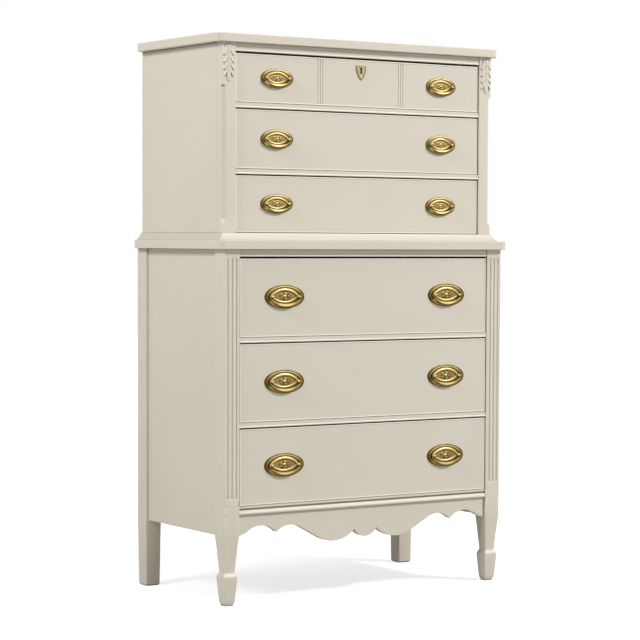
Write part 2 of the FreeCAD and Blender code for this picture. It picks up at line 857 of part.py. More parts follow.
def stud(pull):
    """A round-headed stud, bored across its head for the bail's pin, with a threaded tail."""
    name = pull.kind + "_stud"
    head_front = dim.pivot_standoff + dim.stud_head_radius
    solid = join(
        name + "_solid",
        ball(name + "_head", dim.stud_head_radius, 0, -dim.pivot_standoff),
        rod(name + "_neck", "y", dim.stud_neck_radius, dim.pivot_standoff - dim.plate_thickness,
            0, -dim.pivot_standoff),
        rod(name + "_stem", "y", dim.stud_stem_radius, dim.pivot_standoff + dim.front_thickness + dim.stem_tail,
            0, -dim.pivot_standoff),
    )
    bore = rod(name + "_bore", "x", dim.pin_radius + dim.pin_fit, head_front * 2, -head_front, -dim.pivot_standoff)
    return cut(name, solid, bore)


def nut(pull):
    """A six-sided nut on the inside of the drawer front."""
    name = pull.kind + "_nut"
    blank = doc.addObject("Part::Prism", name + "_blank")
    blank.Polygon = 6
    bind(blank, Circumradius=dim.nut_radius, Height=dim.nut_thickness)
    place(blank, 0, dim.front_thickness, 0, TURNS["y"])
    bore = rod(name + "_bore", "y", stem_bore, dim.nut_thickness, 0, dim.front_thickness)
    return cut(name, blank, bore)


def bail(pull):
    """A swelled half-oval handle whose ends pivot on pins in the two studs."""
    name = pull.kind + "_bail"
    inner = pull.stud + dim.stud_head_radius + dim.bail_side_clearance
    outer = inner + dim.bail_end_width
    shoulder = dim.bail_end_width / 2
    arm_end = -dim.bail_arm_drop
    loop = plate(
        name + "_loop", "XZ_Plane", dim.bail_thickness,
        (-outer, arm_end),
        ((0, -pull.drop), (outer, arm_end)),
        ((outer, shoulder),),
        ((inner, shoulder),),
        ((inner, arm_end),),
        ((0, pull.swell - pull.drop), (-inner, arm_end)),
        ((-inner, shoulder),),
        ((-outer, shoulder),),
        ((-outer, arm_end),),
    )
    place(loop, 0, dim.bail_thickness / 2 - dim.pivot_standoff)
    reach = dim.stud_head_radius * 2 + dim.bail_side_clearance + shoulder
    pins = [
        rod(f"{name}_pin_left", "x", dim.pin_radius, reach, -inner - shoulder, -dim.pivot_standoff),
        rod(f"{name}_pin_right", "x", dim.pin_radius, reach, inner + shoulder - reach, -dim.pivot_standoff),
    ]
    return join(name, loop, *pins)


pieces = {
    kind: {"plate": pull_plate(pull), "stud": stud(pull), "nut": nut(pull), "bail": bail(pull)}
    for kind, pull in pulls.items()
}


# Drawers: a beaded front, two sides and a back on a bottom panel

def front_bead(number, half, front, bottom, top):
    """A narrow bead that stands proud all round the front's edge."""
    bead = dim.front_bead
    rise = (front - dim.front_bead_rise, front)
    return cut(
        f"bead_{number}",
        box(f"bead_{number}_outline", (-half, half), rise, (bottom, top)),
        box(f"bead_{number}_field", (-half + bead, half - bead), rise, (bottom + bead, top - bead)),
    )


def reed_grooves(front, bottom, top):
    """Three upright grooves each side of the middle, which leave two reeds between them."""
    inset = dim.front_bead
    grooves = []
    for hand, side in (("left", -1), ("right", 1)):
        for step in (-1, 0, 1):
            across = (dim.reed_offset + dim.reed_spacing * step) * side
            grooves.append(rod(f"reed_{hand}_{step + 2}", "z", dim.reed_groove_radius,
                               top - bottom - inset * 2, across, front, bottom + inset))
    return grooves


drawer_1_top = opening_1_top - dim.highest_front_top_gap
keyhole_middle = drawer_1_top - dim.escutcheon_top_drop - dim.keyhole_drop


def keyhole(name, start, length):
    """A round hole over a slot, cut along Y."""
    half = dim.keyhole_slot_width / 2
    return join(
        name,
        rod(name + "_round", "y", dim.keyhole_radius, length, 0, start, keyhole_middle),
        box(name + "_slot", (-half, half), (start, start + length),
            (keyhole_middle - dim.keyhole_slot_length, keyhole_middle)),
    )


drawer_faces = {
    "upper": upper_front + dim.upper_front_setback,
    "lower": lower_front + dim.lower_front_setback,
}


def drawer(number):
    kind, opening_bottom, opening_top = OPENINGS[number]
    pull = pulls[kind]
    opening_half = upper_opening_half if kind == "upper" else lower_opening_half
    half = opening_half - dim.front_side_gap
    front = drawer_faces[kind]
    face_back = front + dim.front_thickness
    bottom = opening_bottom + dim.front_bottom_gap
    # The highest drawer of each chest has a wider gap over its front.
    highest = opening_top in (opening_1_top, opening_4_top)
    top = opening_top - (dim.highest_front_top_gap if highest else dim.front_top_gap)
    middle = (opening_bottom + opening_top) / 2

    # The front, with its bead, stud holes and the groove for the bottom panel
    side_bottom = opening_bottom + dim.runner_clearance
    panel_bottom = side_bottom + dim.drawer_bottom_rise
    panel_top = panel_bottom + dim.drawer_bottom_thickness
    panel_half = half - dim.drawer_side_thickness + dim.drawer_groove_depth
    panel_front = face_back - dim.drawer_groove_depth
    cuts = [
        box(f"front_{number}_slot", (-panel_half, panel_half), (panel_front, face_back), (panel_bottom, panel_top)),
    ]
    for hand, side in (("left", -1), ("right", 1)):
        for place_name, reach in (("outer", 1), ("inner", -1)):
            across = (pull.offset + pull.stud * reach) * side
            cuts.append(rod(f"stud_hole_{number}_{hand}_{place_name}", "y", stem_bore, dim.front_thickness,
                            across, front, middle))
    if number == 1:
        cuts += reed_grooves(front, bottom, top)
        cuts.append(keyhole("front_keyhole", front, dim.front_thickness - dim.lock_thickness))
        cuts.append(box("lock_mortise", (-dim.lock_width / 2 - dim.lock_fit, dim.lock_width / 2 + dim.lock_fit),
                        (face_back - dim.lock_thickness - dim.lock_fit, face_back),
                        (top - dim.lock_height - dim.lock_fit, top)))
    board_piece = box(f"front_{number}_blank", (-half, half), (front, face_back), (bottom, top))
    board = join(f"front_{number}_board", board_piece, front_bead(number, half, front, bottom, top))
    node(f"drawer_{number}_front", cut(f"front_{number}", board, *cuts))

    # Two grooved sides and the back, which stands on the bottom panel
    side_top = top - dim.drawer_side_drop
    box_back = back_inside - dim.drawer_back_clearance
    side_inside = half - dim.drawer_side_thickness
    left = cut(
        f"drawer_side_{number}",
        box(f"drawer_side_{number}_board", (-half, -side_inside), (face_back, box_back), (side_bottom, side_top)),
        box(f"drawer_side_{number}_slot", (-panel_half, -side_inside), (face_back, box_back),
            (panel_bottom, panel_top)),
    )
    rear = box(f"drawer_back_{number}", (-side_inside, side_inside),
               (box_back - dim.drawer_back_thickness, box_back), (panel_top, side_top))
    right = mirrored(f"drawer_side_{number}_twin", left)
    node(f"drawer_{number}_box", group(f"drawer_box_{number}", left, right, rear))
    node(f"drawer_{number}_bottom", box(f"drawer_panel_{number}", (-panel_half, panel_half),
                                        (panel_front, box_back), (panel_bottom, panel_top)))

    # The two pulls: plates, studs and nuts stay with the drawer, and each bail swings
    fittings = []
    for hand, side in (("left", -1), ("right", 1)):
        centre = pull.offset * side
        fittings.append(moved(f"plate_{number}_{hand}", pieces[kind]["plate"], centre, front, middle))
        for place_name, reach in (("outer", 1), ("inner", -1)):
            across = (pull.offset + pull.stud * reach) * side
            label = f"{number}_{hand}_{place_name}"
            fittings.append(moved(f"stud_{label}", pieces[kind]["stud"], across, front, middle))
            fittings.append(moved(f"nut_{label}", pieces[kind]["nut"], across, front, middle))
        node(f"drawer_{number}_bail_{hand}",
             moved(f"bail_{number}_{hand}", pieces[kind]["bail"], centre, front, middle))
    node(f"drawer_{number}_pull_plates", group(f"pull_plates_{number}", *fittings))


for number in OPENINGS:
    drawer(number)


# Keyhole plate: a shield held by a round-headed pin at the top.
# Shares of the half width and of the height, down from the top.

SHIELD_DIP_SHARE = 0.06
SHIELD_FLANK_SHARES = (0.80, 0.52)

drawer_1_face = drawer_faces["upper"]
shield_top = drawer_1_top - dim.escutcheon_top_drop
shield_half = dim.escutcheon_width / 2
shield_corner = (shield_half, shield_top)
shield_flank = (shield_half * SHIELD_FLANK_SHARES[0], shield_top - dim.escutcheon_height * SHIELD_FLANK_SHARES[1])
shield_tip = (0, shield_top - dim.escutcheon_height)
shield_dip = (0, shield_top - dim.escutcheon_height * SHIELD_DIP_SHARE)
shield = plate(
    "shield", "XZ_Plane", dim.escutcheon_thickness,
    shield_corner,
    (shield_flank, shield_tip),
    (other_side(shield_flank), other_side(shield_corner)),
    (shield_dip, shield_corner),
)
place(shield, 0, drawer_1_face)
shield_pin = ball("shield_pin", dim.escutcheon_pin_radius, 0, drawer_1_face - dim.escutcheon_thickness,
                  (shield_top + keyhole_middle + dim.keyhole_radius) / 2)
node("keyhole_escutcheon", cut(
    "escutcheon",
    join("escutcheon_blank", shield, shield_pin),
    keyhole("escutcheon_keyhole", drawer_1_face - dim.escutcheon_thickness, dim.escutcheon_thickness),
))


# Lock: a block let into the back of the top drawer's front, with a bolt that rises into the rail

lock_back = drawer_1_face + dim.front_thickness
lock_front = lock_back - dim.lock_thickness
bolt_half = dim.bolt_width / 2
bolt_side = dim.bolt_thickness / 2
slot_half = bolt_half + dim.lock_fit
slot_side = bolt_side + dim.lock_fit
node("lock_body", cut(
    "lock",
    box("lock_blank", (-dim.lock_width / 2, dim.lock_width / 2), (lock_front, lock_back),
        (drawer_1_top - dim.lock_height, drawer_1_top)),
    box("bolt_slot", (-slot_half, slot_half), (bolt_middle - slot_side, bolt_middle + slot_side),
        (drawer_1_top - dim.bolt_height, drawer_1_top)),
    keyhole("lock_keyhole", lock_front, dim.lock_thickness - dim.bolt_thickness),
))
node("lock_bolt", box("bolt", (-bolt_half, bolt_half), (bolt_middle - bolt_side, bolt_middle + bolt_side),
                      (drawer_1_top - dim.bolt_height, drawer_1_top)))


# Check every object, then write each sub-part

doc.recompute()
for thing in doc.Objects:
    if "Invalid" in thing.State or "Error" in thing.State:
        raise RuntimeError(f"{thing.Label} did not build: {thing.State}")

os.makedirs("parts", exist_ok=True)
for name, piece in NODES.items():
    shape = piece.Shape
    if shape.isNull() or not shape.isValid() or not shape.Solids:
        raise RuntimeError(f"{name} has no valid solid")
    shape.exportStep(f"parts/{name}.step")
    print(f"{name:26s} solids {len(shape.Solids):2d}  volume {shape.Volume / 1000:9.1f} cm3")
print("nodes", len(NODES), " height", round(total_height.value, 1))
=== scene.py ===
# %% [markdown]
# A painted tall dresser: a three-drawer upper chest on a wider three-drawer lower chest.
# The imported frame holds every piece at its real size, in metres. This lesson dresses that frame:
# most pieces that are seen are built again with their rounded arrises, beads, carving and finish,
# ride on the body that they belong to, and stand in for the plain solids under them.

import math

import bmesh
import bpy
from mathutils import Matrix, Vector


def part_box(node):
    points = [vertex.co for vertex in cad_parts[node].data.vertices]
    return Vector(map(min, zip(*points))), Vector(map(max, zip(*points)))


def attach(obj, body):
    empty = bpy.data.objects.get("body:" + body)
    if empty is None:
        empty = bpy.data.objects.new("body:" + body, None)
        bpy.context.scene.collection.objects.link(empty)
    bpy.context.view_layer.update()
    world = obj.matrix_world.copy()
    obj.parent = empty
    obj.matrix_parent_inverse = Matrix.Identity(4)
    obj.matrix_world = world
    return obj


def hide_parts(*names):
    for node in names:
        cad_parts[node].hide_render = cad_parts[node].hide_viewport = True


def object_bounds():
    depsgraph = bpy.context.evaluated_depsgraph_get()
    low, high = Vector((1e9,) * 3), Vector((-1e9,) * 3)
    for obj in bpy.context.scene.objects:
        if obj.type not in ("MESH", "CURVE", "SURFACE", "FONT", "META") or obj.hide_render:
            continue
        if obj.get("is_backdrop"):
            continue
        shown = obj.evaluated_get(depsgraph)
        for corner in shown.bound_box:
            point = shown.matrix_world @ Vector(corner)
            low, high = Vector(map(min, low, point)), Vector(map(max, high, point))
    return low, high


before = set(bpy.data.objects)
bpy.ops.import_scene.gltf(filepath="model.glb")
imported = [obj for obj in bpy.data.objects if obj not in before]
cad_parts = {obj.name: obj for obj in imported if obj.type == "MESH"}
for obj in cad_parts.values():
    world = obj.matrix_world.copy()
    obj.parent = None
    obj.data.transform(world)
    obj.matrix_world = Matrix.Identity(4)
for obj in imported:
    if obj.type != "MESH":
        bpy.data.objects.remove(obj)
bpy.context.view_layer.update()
MM = 0.001

# %% [markdown]
# Shader trees are long to write by hand, so helpers come first. One adds a single node and fills
# its sockets with values or links, and a few short ones build on it. Another opens a node group with
# named sockets, which is how an effect such as wood grain is written once and used in several
# finishes.

# %% Helpers for shader trees
def add(tree, kind, inputs=None, **settings):
    """Adds one shader node, sets its fields, and fills or links its sockets."""
    made = tree.nodes.new("ShaderNode" + kind)
    for field, value in settings.items():
        setattr(made, field, value)
    for name, value in (inputs or {}).items():
        if isinstance(value, bpy.types.NodeSocket):
            tree.links.new(value, made.inputs[name])
        else:
            made.inputs[name].default_value = value
    return made


def sums(tree, operation, *terms, clamp=False):
    """One arithmetic step; a term is a number or a socket, and clamp keeps the result in 0 to 1."""
    return add(tree, "Math", dict(enumerate(terms)), operation=operation, use_clamp=clamp).outputs[0]


def spaced_names(values):
    return {title.replace("_", " "): value for title, value in values.items()}


def ramp(tree, value, low, high, **ends):
    """Stretches a value so that low becomes 0 and high becomes 1, unless other ends are given."""
    sockets = {"Value": value, "From Min": low, "From Max": high, **spaced_names(ends)}
    return add(tree, "MapRange", sockets).outputs[0]


def mottle(tree, place, scale, **more):
    """Smooth random values between 0 and 1, finer as the scale grows."""
    return add(tree, "TexNoise", {"Vector": place, "Scale": scale, **more}).outputs[0]


def emboss(tree, shader, height, strength, distance):
    """Tilts the shader's normal as if the surface had this height."""
    bump = add(tree, "Bump", {"Height": height, "Strength": strength, "Distance": distance})
    tree.links.new(bump.outputs[0], shader["Normal"])


def blend_colours(tree, share, low, high):
    """A colour between two others."""
    mix = add(tree, "Mix", data_type="RGBA")
    for index, value in ((0, share), (6, low), (7, high)):
        if isinstance(value, bpy.types.NodeSocket):
            tree.links.new(value, mix.inputs[index])
        else:
            mix.inputs[index].default_value = value
    return mix.outputs[2]


def open_group(name, inputs, outputs):
    """A node group with named sockets, and its two ends."""
    tree = bpy.data.node_groups.new(name, "ShaderNodeTree")
    for title, kind, value in inputs:
        tree.interface.new_socket(title, in_out="INPUT", socket_type=kind).default_value = value
    for title, kind in outputs:
        tree.interface.new_socket(title, in_out="OUTPUT", socket_type=kind)
    return tree, tree.nodes.new("NodeGroupInput").outputs, tree.nodes.new("NodeGroupOutput").inputs


def use_group(tree, group, **inputs):
    """Places a group in a finish with its own values."""
    made = tree.nodes.new("ShaderNodeGroup")
    made.node_tree = group
    for title, value in spaced_names(inputs).items():
        if isinstance(value, bpy.types.NodeSocket):
            tree.links.new(value, made.inputs[title])
        else:
            made.inputs[title].default_value = value
    return made.outputs


NUMBER = "NodeSocketFloat"
VECTOR = "NodeSocketVector"
print("shader helpers ready")

# %% [markdown]
# Wood grain is noise that has been stretched along the board. The same group serves the bare
# drawer wood, the plywood panels and the paint, where the grain only shows faintly through the
# coats. It puts out two masks: broad streaks, and the fine pores between them.

# %% Grain group
PORE_FINENESS = 7.0

grain, ends_in, ends_out = open_group(
    "grain",
    [("Stretch", VECTOR, (1, 1, 1)), ("Waver", NUMBER, 0.4)],
    [("Streaks", NUMBER), ("Pores", NUMBER)],
)
place = add(grain, "TexCoord").outputs["Object"]
stretched = add(grain, "VectorMath", {0: place, 1: ends_in["Stretch"]}, operation="MULTIPLY").outputs[0]
broad = mottle(grain, stretched, 1.0, Detail=5.0, Roughness=0.55, Distortion=ends_in["Waver"])
finer = add(grain, "VectorMath", {0: stretched, 1: (PORE_FINENESS,) * 3}, operation="MULTIPLY").outputs[0]
fine = mottle(grain, finer, 1.0, Detail=3.0, Roughness=0.6)
grain.links.new(broad, ends_out["Streaks"])
grain.links.new(fine, ends_out["Pores"])
print("grain group", len(grain.nodes), "nodes")

# %% [markdown]
# Two masks serve the finishes. The crevice mask comes from ambient occlusion, which is how much of
# the sky a point fails to see; the paint lays painted shade with it into corners and gaps, the bare
# wood is darker with it in its corners, and the brass keeps its patina where it marks hollows. The
# edge mask compares the normal with the one that a rounded edge would have, and the paint lays
# painted highlights with it on the arrises. Both depend only on the shape.

# %% Crevice and edge groups
crevice, ends_in, ends_out = open_group(
    "crevice", [("Reach", NUMBER, 0.01), ("Strength", NUMBER, 1.0)], [("Mask", NUMBER)])
seen = add(crevice, "AmbientOcclusion", {"Distance": ends_in["Reach"]}, samples=8)
hidden = sums(crevice, "SUBTRACT", 1.0, seen.outputs["AO"])
strong = sums(crevice, "MULTIPLY", hidden, ends_in["Strength"], clamp=True)
crevice.links.new(strong, ends_out["Mask"])

edge_highlight, ends_in, ends_out = open_group(
    "edge highlight", [("Radius", NUMBER, 0.001), ("Strength", NUMBER, 3.0)], [("Mask", NUMBER)])
round_normal = add(edge_highlight, "Bevel", {"Radius": ends_in["Radius"]}, samples=4).outputs[0]
true_normal = add(edge_highlight, "NewGeometry").outputs["Normal"]
alike = add(edge_highlight, "VectorMath", {0: round_normal, 1: true_normal}, operation="DOT_PRODUCT").outputs["Value"]
unlike = sums(edge_highlight, "SUBTRACT", 1.0, alike)
edge = sums(edge_highlight, "MULTIPLY", unlike, ends_in["Strength"], clamp=True)
edge_highlight.links.new(edge, ends_out["Mask"])
print("crevice and edge groups ready")

# %% [markdown]
# The dresser is sprayed in a warm greige satin paint. Up close the coat has a slight orange-peel
# waviness, and the grain of the wood under it telegraphs through as faint lines. Shade is painted
# into the colour: darker in the quirks, joints and gaps, and as a painted shadow under the boards.
# Highlights are painted lighter on the arrises and along the crests of the beads. A value stored on
# the points of a piece says where, from -1 for painted shade to 1 for painted highlight. Colours are
# written in sRGB, as a painter would match them to a sample, and turned into linear light for the
# shader.

# %% Colour helper and the paint
def colour(red, green, blue):
    """Linear light from an sRGB colour of 0 to 255."""
    shares = [value / 255 for value in (red, green, blue)]
    return (*[v / 12.92 if v <= 0.04045 else ((v + 0.055) / 1.055) ** 2.4 for v in shares], 1.0)


def new_finish(name, **constants):
    """A material with its shader's fixed values set on the shader itself."""
    finish = bpy.data.materials.new(name)
    finish.use_nodes = True
    shader = finish.node_tree.nodes["Principled BSDF"]
    for title, value in spaced_names(constants).items():
        shader.inputs[title].default_value = value
    finish.diffuse_color = (0.7, 0.65, 0.55, 1.0)
    return finish, finish.node_tree, shader.inputs


ALONG = {"x": (0.02, 1.0, 1.0), "y": (1.0, 0.02, 1.0), "z": (1.0, 1.0, 0.02)}
PAINT = colour(219, 212, 196)
PAINT_SHADE = colour(211, 204, 187)
# Colours for painted shade, for painted highlights, and for the gaps, painted nearly black as shade.
PAINTED_SHADOW_COLOUR = colour(100, 88, 68)
PAINTED_HIGHLIGHT_COLOUR = colour(246, 242, 231)
BARE_AND_SHADED_GAP = colour(20, 14, 8)
PAINT_LINES, CLOUD_SCALE, PEEL_SCALE = 420.0, 5.0, 650.0
CORNER_REACH, GAP_REACH, EDGE_REACH = 4 * MM, 12 * MM, 1.2 * MM
LINED_SHARE, HIGHLIGHT_SHARE, SHADE_SHARE = 0.35, 0.85, 0.7
# A ramp is the two values that become 0 and 1, and a bump is its strength and its height.
TIGHT_RAMP, GAP_RAMP = (0.26, 0.58), (0.55, 0.76)
PAINT_BUMP = (0.16, 0.25 * MM)


def stretch_along(axis, lines_per_metre):
    return tuple(share * lines_per_metre for share in ALONG[axis])


def paint(axis):
    """Greige satin paint over a board whose grain runs along one axis, with painted shade and painted
    highlights.
    """
    finish, tree, shader = new_finish(f"paint_{axis}")
    wood = use_group(tree, grain, Stretch=stretch_along(axis, PAINT_LINES), Waver=0.5)
    corners = use_group(tree, crevice, Reach=CORNER_REACH, Strength=1.0)
    gaps = use_group(tree, crevice, Reach=GAP_REACH, Strength=1.0)
    # The edge mask paints highlights on the arrises.
    edges = use_group(tree, edge_highlight, Radius=EDGE_REACH, Strength=3.0)
    cloud_place = add(tree, "TexCoord").outputs["Object"]
    clouds = mottle(tree, cloud_place, CLOUD_SCALE, Detail=3.0)
    tone = blend_colours(tree, clouds, PAINT, PAINT_SHADE)
    lined = blend_colours(tree, sums(tree, "MULTIPLY", wood["Streaks"], LINED_SHARE), tone, PAINT_SHADE)
    # The stored value paints highlights above 0 and shade below it.
    wear = add(tree, "Attribute", attribute_name="wear").outputs["Fac"]
    highlight_mask = sums(tree, "MAXIMUM", edges["Mask"], wear, clamp=True)
    highlighted = blend_colours(tree, sums(tree, "MULTIPLY", highlight_mask, HIGHLIGHT_SHARE), lined, PAINTED_HIGHLIGHT_COLOUR)
    darkening = sums(tree, "MULTIPLY", wear, -1.0, clamp=True)
    # The tight crevice mask paints shade into corners and joints.
    corner_shade = ramp(tree, corners["Mask"], *TIGHT_RAMP)
    painted_shade = sums(tree, "MAXIMUM", sums(tree, "MULTIPLY", corner_shade, SHADE_SHARE), darkening)
    with_painted_shade = blend_colours(tree, painted_shade, highlighted, PAINTED_SHADOW_COLOUR)
    # The wide crevice mask paints the gaps nearly black, as deep shade over their bare wood.
    deep = ramp(tree, gaps["Mask"], *GAP_RAMP)
    tree.links.new(blend_colours(tree, deep, with_painted_shade, BARE_AND_SHADED_GAP), shader["Base Color"])
    peel = mottle(tree, cloud_place, PEEL_SCALE, Detail=2.0)
    sheen = sums(tree, "MULTIPLY_ADD", clouds, 0.1, 0.45)
    tree.links.new(sums(tree, "MAXIMUM", sheen, deep), shader["Roughness"])
    surface = sums(tree, "MULTIPLY_ADD", wood["Pores"], 0.6, peel)
    emboss(tree, shader, surface, *PAINT_BUMP)
    return finish


PAINTS = {axis: paint(axis) for axis in "xyz"}
print("paint ready along", sorted(PAINTS))

# %% [markdown]
# The drawer boxes are bare. Their sides are a pale hardwood with straight grain, and the bottoms
# and the back panels are thin plywood with a broader, redder figure. The bare wood is darker in
# the corners, where the crevice group finds them.

# %% Bare wood
WOOD_CORNER_DARK = colour(92, 72, 50)
FIGURE_RAMP, PORE_RAMP = (0.32, 0.68), (0.52, 0.75)
PORE_SHARE, CORNER_DARK_SHARE = 0.35, 0.4
WOOD_BUMP = (0.25, 0.3 * MM)


def bare_wood(name, axis, pale, dark, lines, roughness):
    """Unpainted wood with its grain along one axis."""
    finish, tree, shader = new_finish(name, Roughness=roughness)
    wood = use_group(tree, grain, Stretch=stretch_along(axis, lines), Waver=1.4)
    corners = use_group(tree, crevice, Reach=14 * MM, Strength=1.0)
    steep = ramp(tree, wood["Streaks"], *FIGURE_RAMP)
    pores = ramp(tree, wood["Pores"], *PORE_RAMP)
    figure = blend_colours(tree, steep, pale, dark)
    pored = blend_colours(tree, sums(tree, "MULTIPLY", pores, PORE_SHARE), figure, dark)
    darkening = sums(tree, "MULTIPLY", corners["Mask"], CORNER_DARK_SHARE)
    darkened = blend_colours(tree, darkening, pored, WOOD_CORNER_DARK)
    tree.links.new(darkened, shader["Base Color"])
    tree.links.new(sums(tree, "MULTIPLY_ADD", pores, 0.15, roughness), shader["Roughness"])
    emboss(tree, shader, wood["Pores"], *WOOD_BUMP)
    return finish


DRAWER_WOOD = {axis: bare_wood(f"drawer_wood_{axis}", axis, colour(222, 196, 152), colour(190, 155, 108),
                               260.0, 0.5) for axis in "xy"}
END_GRAIN = bare_wood("end_grain", "y", colour(176, 140, 96), colour(140, 104, 66), 900.0, 0.6)
PANEL_WOOD = bare_wood("panel_wood", "x", colour(196, 158, 112), colour(158, 116, 74), 70.0, 0.55)
BACK_WOOD = bare_wood("back_wood", "z", colour(190, 154, 110), colour(150, 112, 74), 60.0, 0.6)
print("bare wood ready")

# %% [markdown]
# The pulls are brass, with old brown lacquer left in the rings. Their upper sides are painted paler,
# as a reflection of a bright room above, and their undersides darker, as painted shade. Three things
# tell them apart: the crevice mask, the way the surface faces, and a value stored on the points of a
# piece when it is made, which holds the patina and also painted shade along plate rims and bail
# edges. The lock inside the top drawer is blackened iron.

# %% Brass and iron
BLOTCH_SCALE, HAMMER_SCALE = 90.0, 500.0
# Upper sides are painted paler and undersides darker: a painted reflection of a light room above and a dark
# floor below.
SHEEN_RAMP, UNDER_RAMP, UNDER_SHARE = (0.25, 1.05), (0.05, -0.5), 0.9
METAL_BUMP = (0.12, 0.2 * MM)


def metal(name, bright, dull, deposit_and_shade, roughness, hollow_reach):
    """A cast metal: painted paler on its upper sides as a reflection, dark with patina in its hollows and
    with painted shade on its undersides.
    """
    finish, tree, shader = new_finish(name, Metallic=1.0)
    place = add(tree, "TexCoord").outputs
    blotches = mottle(tree, place["Object"], BLOTCH_SCALE, Detail=4.0)
    upward = add(tree, "SeparateXYZ", {"Vector": place["Normal"]}).outputs["Z"]
    uneven = sums(tree, "MULTIPLY_ADD", blotches, 0.5, upward)
    # Random blotches, with a painted reflection: paler where the surface faces up, painted shade where it
    # faces down.
    sheen_and_blotches = ramp(tree, uneven, *SHEEN_RAMP)
    under = ramp(tree, uneven, *UNDER_RAMP, To_Max=UNDER_SHARE)
    base = blend_colours(tree, sheen_and_blotches, dull, bright)
    shaded = blend_colours(tree, under, base, deposit_and_shade)
    hollows = use_group(tree, crevice, Reach=hollow_reach, Strength=1.3)["Mask"]
    # The stored value is patina, and painted shade along plate rims and bail edges.
    darkness = add(tree, "Attribute", attribute_name="patina").outputs["Fac"]
    held = sums(tree, "MULTIPLY", darkness, sums(tree, "MULTIPLY_ADD", blotches, 1.2, 0.35))
    dark = sums(tree, "MINIMUM", sums(tree, "MAXIMUM", hollows, held), 1.0)
    tree.links.new(blend_colours(tree, dark, shaded, deposit_and_shade), shader["Base Color"])
    rough = sums(tree, "MULTIPLY_ADD", dark, 0.25, roughness)
    tree.links.new(sums(tree, "MULTIPLY_ADD", blotches, 0.08, rough), shader["Roughness"])
    hammered = mottle(tree, place["Object"], HAMMER_SCALE, Detail=3.0)
    emboss(tree, shader, hammered, *METAL_BUMP)
    return finish


BRASS = metal("brass", colour(206, 191, 148), colour(156, 134, 80), colour(82, 62, 20), 0.44, 2.0 * MM)
SHIELD_BRASS = metal("shield_brass", colour(176, 164, 134), colour(160, 147, 114), colour(64, 54, 30),
                     0.44, 1.5 * MM)
IRON = metal("iron", colour(52, 48, 44), colour(36, 33, 30), colour(16, 14, 12), 0.6, 4 * MM)
print("metals ready")

# %% [markdown]
# Every piece of the dresser is made by one of a few workshop moves. A moulding or a board is one
# section carried along a line, so one helper extrudes an outline. A bevel modifier then breaks its
# arrises, because no sanded edge is truly sharp and the small round catches the light. Two more
# serve every piece that is built of rings of points: the angles round a circle, and the band of
# faces between one ring and the next.

# %% Making a piece from vertices and faces
def new_piece(name, points, faces, smooth_degrees=38, **stored):
    """A mesh object with smooth shading that breaks at sharp angles; stored values have one per point."""
    data = bpy.data.meshes.new(name)
    data.from_pydata([tuple(p) for p in points], [], faces)
    for title, values in stored.items():
        data.attributes.new(title, "FLOAT", "POINT").data.foreach_set("value", values)
    tidy = bmesh.new()
    tidy.from_mesh(data)
    bmesh.ops.recalc_face_normals(tidy, faces=tidy.faces)
    tidy.to_mesh(data)
    tidy.free()
    data.shade_smooth()
    data.set_sharp_from_angle(angle=math.radians(smooth_degrees))
    piece = bpy.data.objects.new(name, data)
    bpy.context.collection.objects.link(piece)
    return piece


def soften(piece, radius, segments=3, degrees=40):
    """Breaks the arrises of a piece with a small round."""
    bevel = piece.modifiers.new("arrises", "BEVEL")
    bevel.width = radius
    bevel.segments = segments
    bevel.limit_method = "ANGLE"
    bevel.angle_limit = math.radians(degrees)
    bevel.harden_normals = True
    return piece


def fit(piece, finish, body, slot, *nodes):
    """Gives a piece its finish, seats it on its body, and hides the plain solids it stands for."""
    piece.data.materials.append(finish)
    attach(piece, body)
    if nodes:
        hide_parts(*nodes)
    return piece


ORDER = {"x": (2, 0, 1), "y": (0, 2, 1), "z": (0, 1, 2)}


def along(axis, first, second, run):
    """A point from the two coordinates of a section and the place along its run."""
    values = (first, second, run)
    return Vector([values[index] for index in ORDER[axis]])


def circle(steps):
    """The angles of evenly spaced points round a circle."""
    return [math.tau * step / steps for step in range(steps)]


def band(base, above, count):
    """The faces between two rings of points, given the number of each ring's first point."""
    return [(base + here, base + (here + 1) % count, above + (here + 1) % count, above + here)
            for here in range(count)]


def prism(name, axis, section, start, end, radius=0.8 * MM, wear=None):
    """A section carried along one axis: (y, z) for x, (x, z) for y and (x, y) for z."""
    count = len(section)
    points = [along(axis, *corner, run) for run in (start, end) for corner in section]
    faces = [tuple(range(count)), tuple(range(count, count * 2))] + band(0, count, count)
    piece = new_piece(name, points, faces, wear=(wear or [0.0] * count) * 2)
    return soften(piece, radius) if radius else piece


def box_section(low_a, high_a, low_b, high_b):
    """A four-cornered section."""
    return [(low_a, low_b), (high_a, low_b), (high_a, high_b), (low_a, high_b)]


def arc(centre_a, centre_b, radius, first_degrees, last_degrees, steps):
    """Points on a circle, ends included."""
    turn = (last_degrees - first_degrees) / steps
    angles = [math.radians(first_degrees + turn * step) for step in range(steps + 1)]
    return [(centre_a + radius * math.cos(a), centre_b + radius * math.sin(a)) for a in angles]


print("workshop helpers ready")

# %% [markdown]
# The top and the waist board are single wide boards with all four corners rounded. Both have a
# small eased edge above and below, and the corner radius is that of the frame's solids.

# %% Top board and waist board
CORNER_RADIUS = 20 * MM
CORNER_STEPS = 10
BOARD_EASE = 1.6 * MM


def rounded_board(name, finish):
    """A board with rounded corners and eased edges, in the place of its plain solid."""
    low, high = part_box(name)
    left, right = low.x + CORNER_RADIUS, high.x - CORNER_RADIUS
    front, back = low.y + CORNER_RADIUS, high.y - CORNER_RADIUS
    section = []
    for a, b, degrees in ((right, back, 0), (left, back, 90), (left, front, 180), (right, front, 270)):
        section += arc(a, b, CORNER_RADIUS, degrees, degrees + 90, CORNER_STEPS)
    board = prism(name + "_board", "z", section, low.z, high.z, radius=BOARD_EASE)
    return fit(board, finish, "carcass", "paint", name)


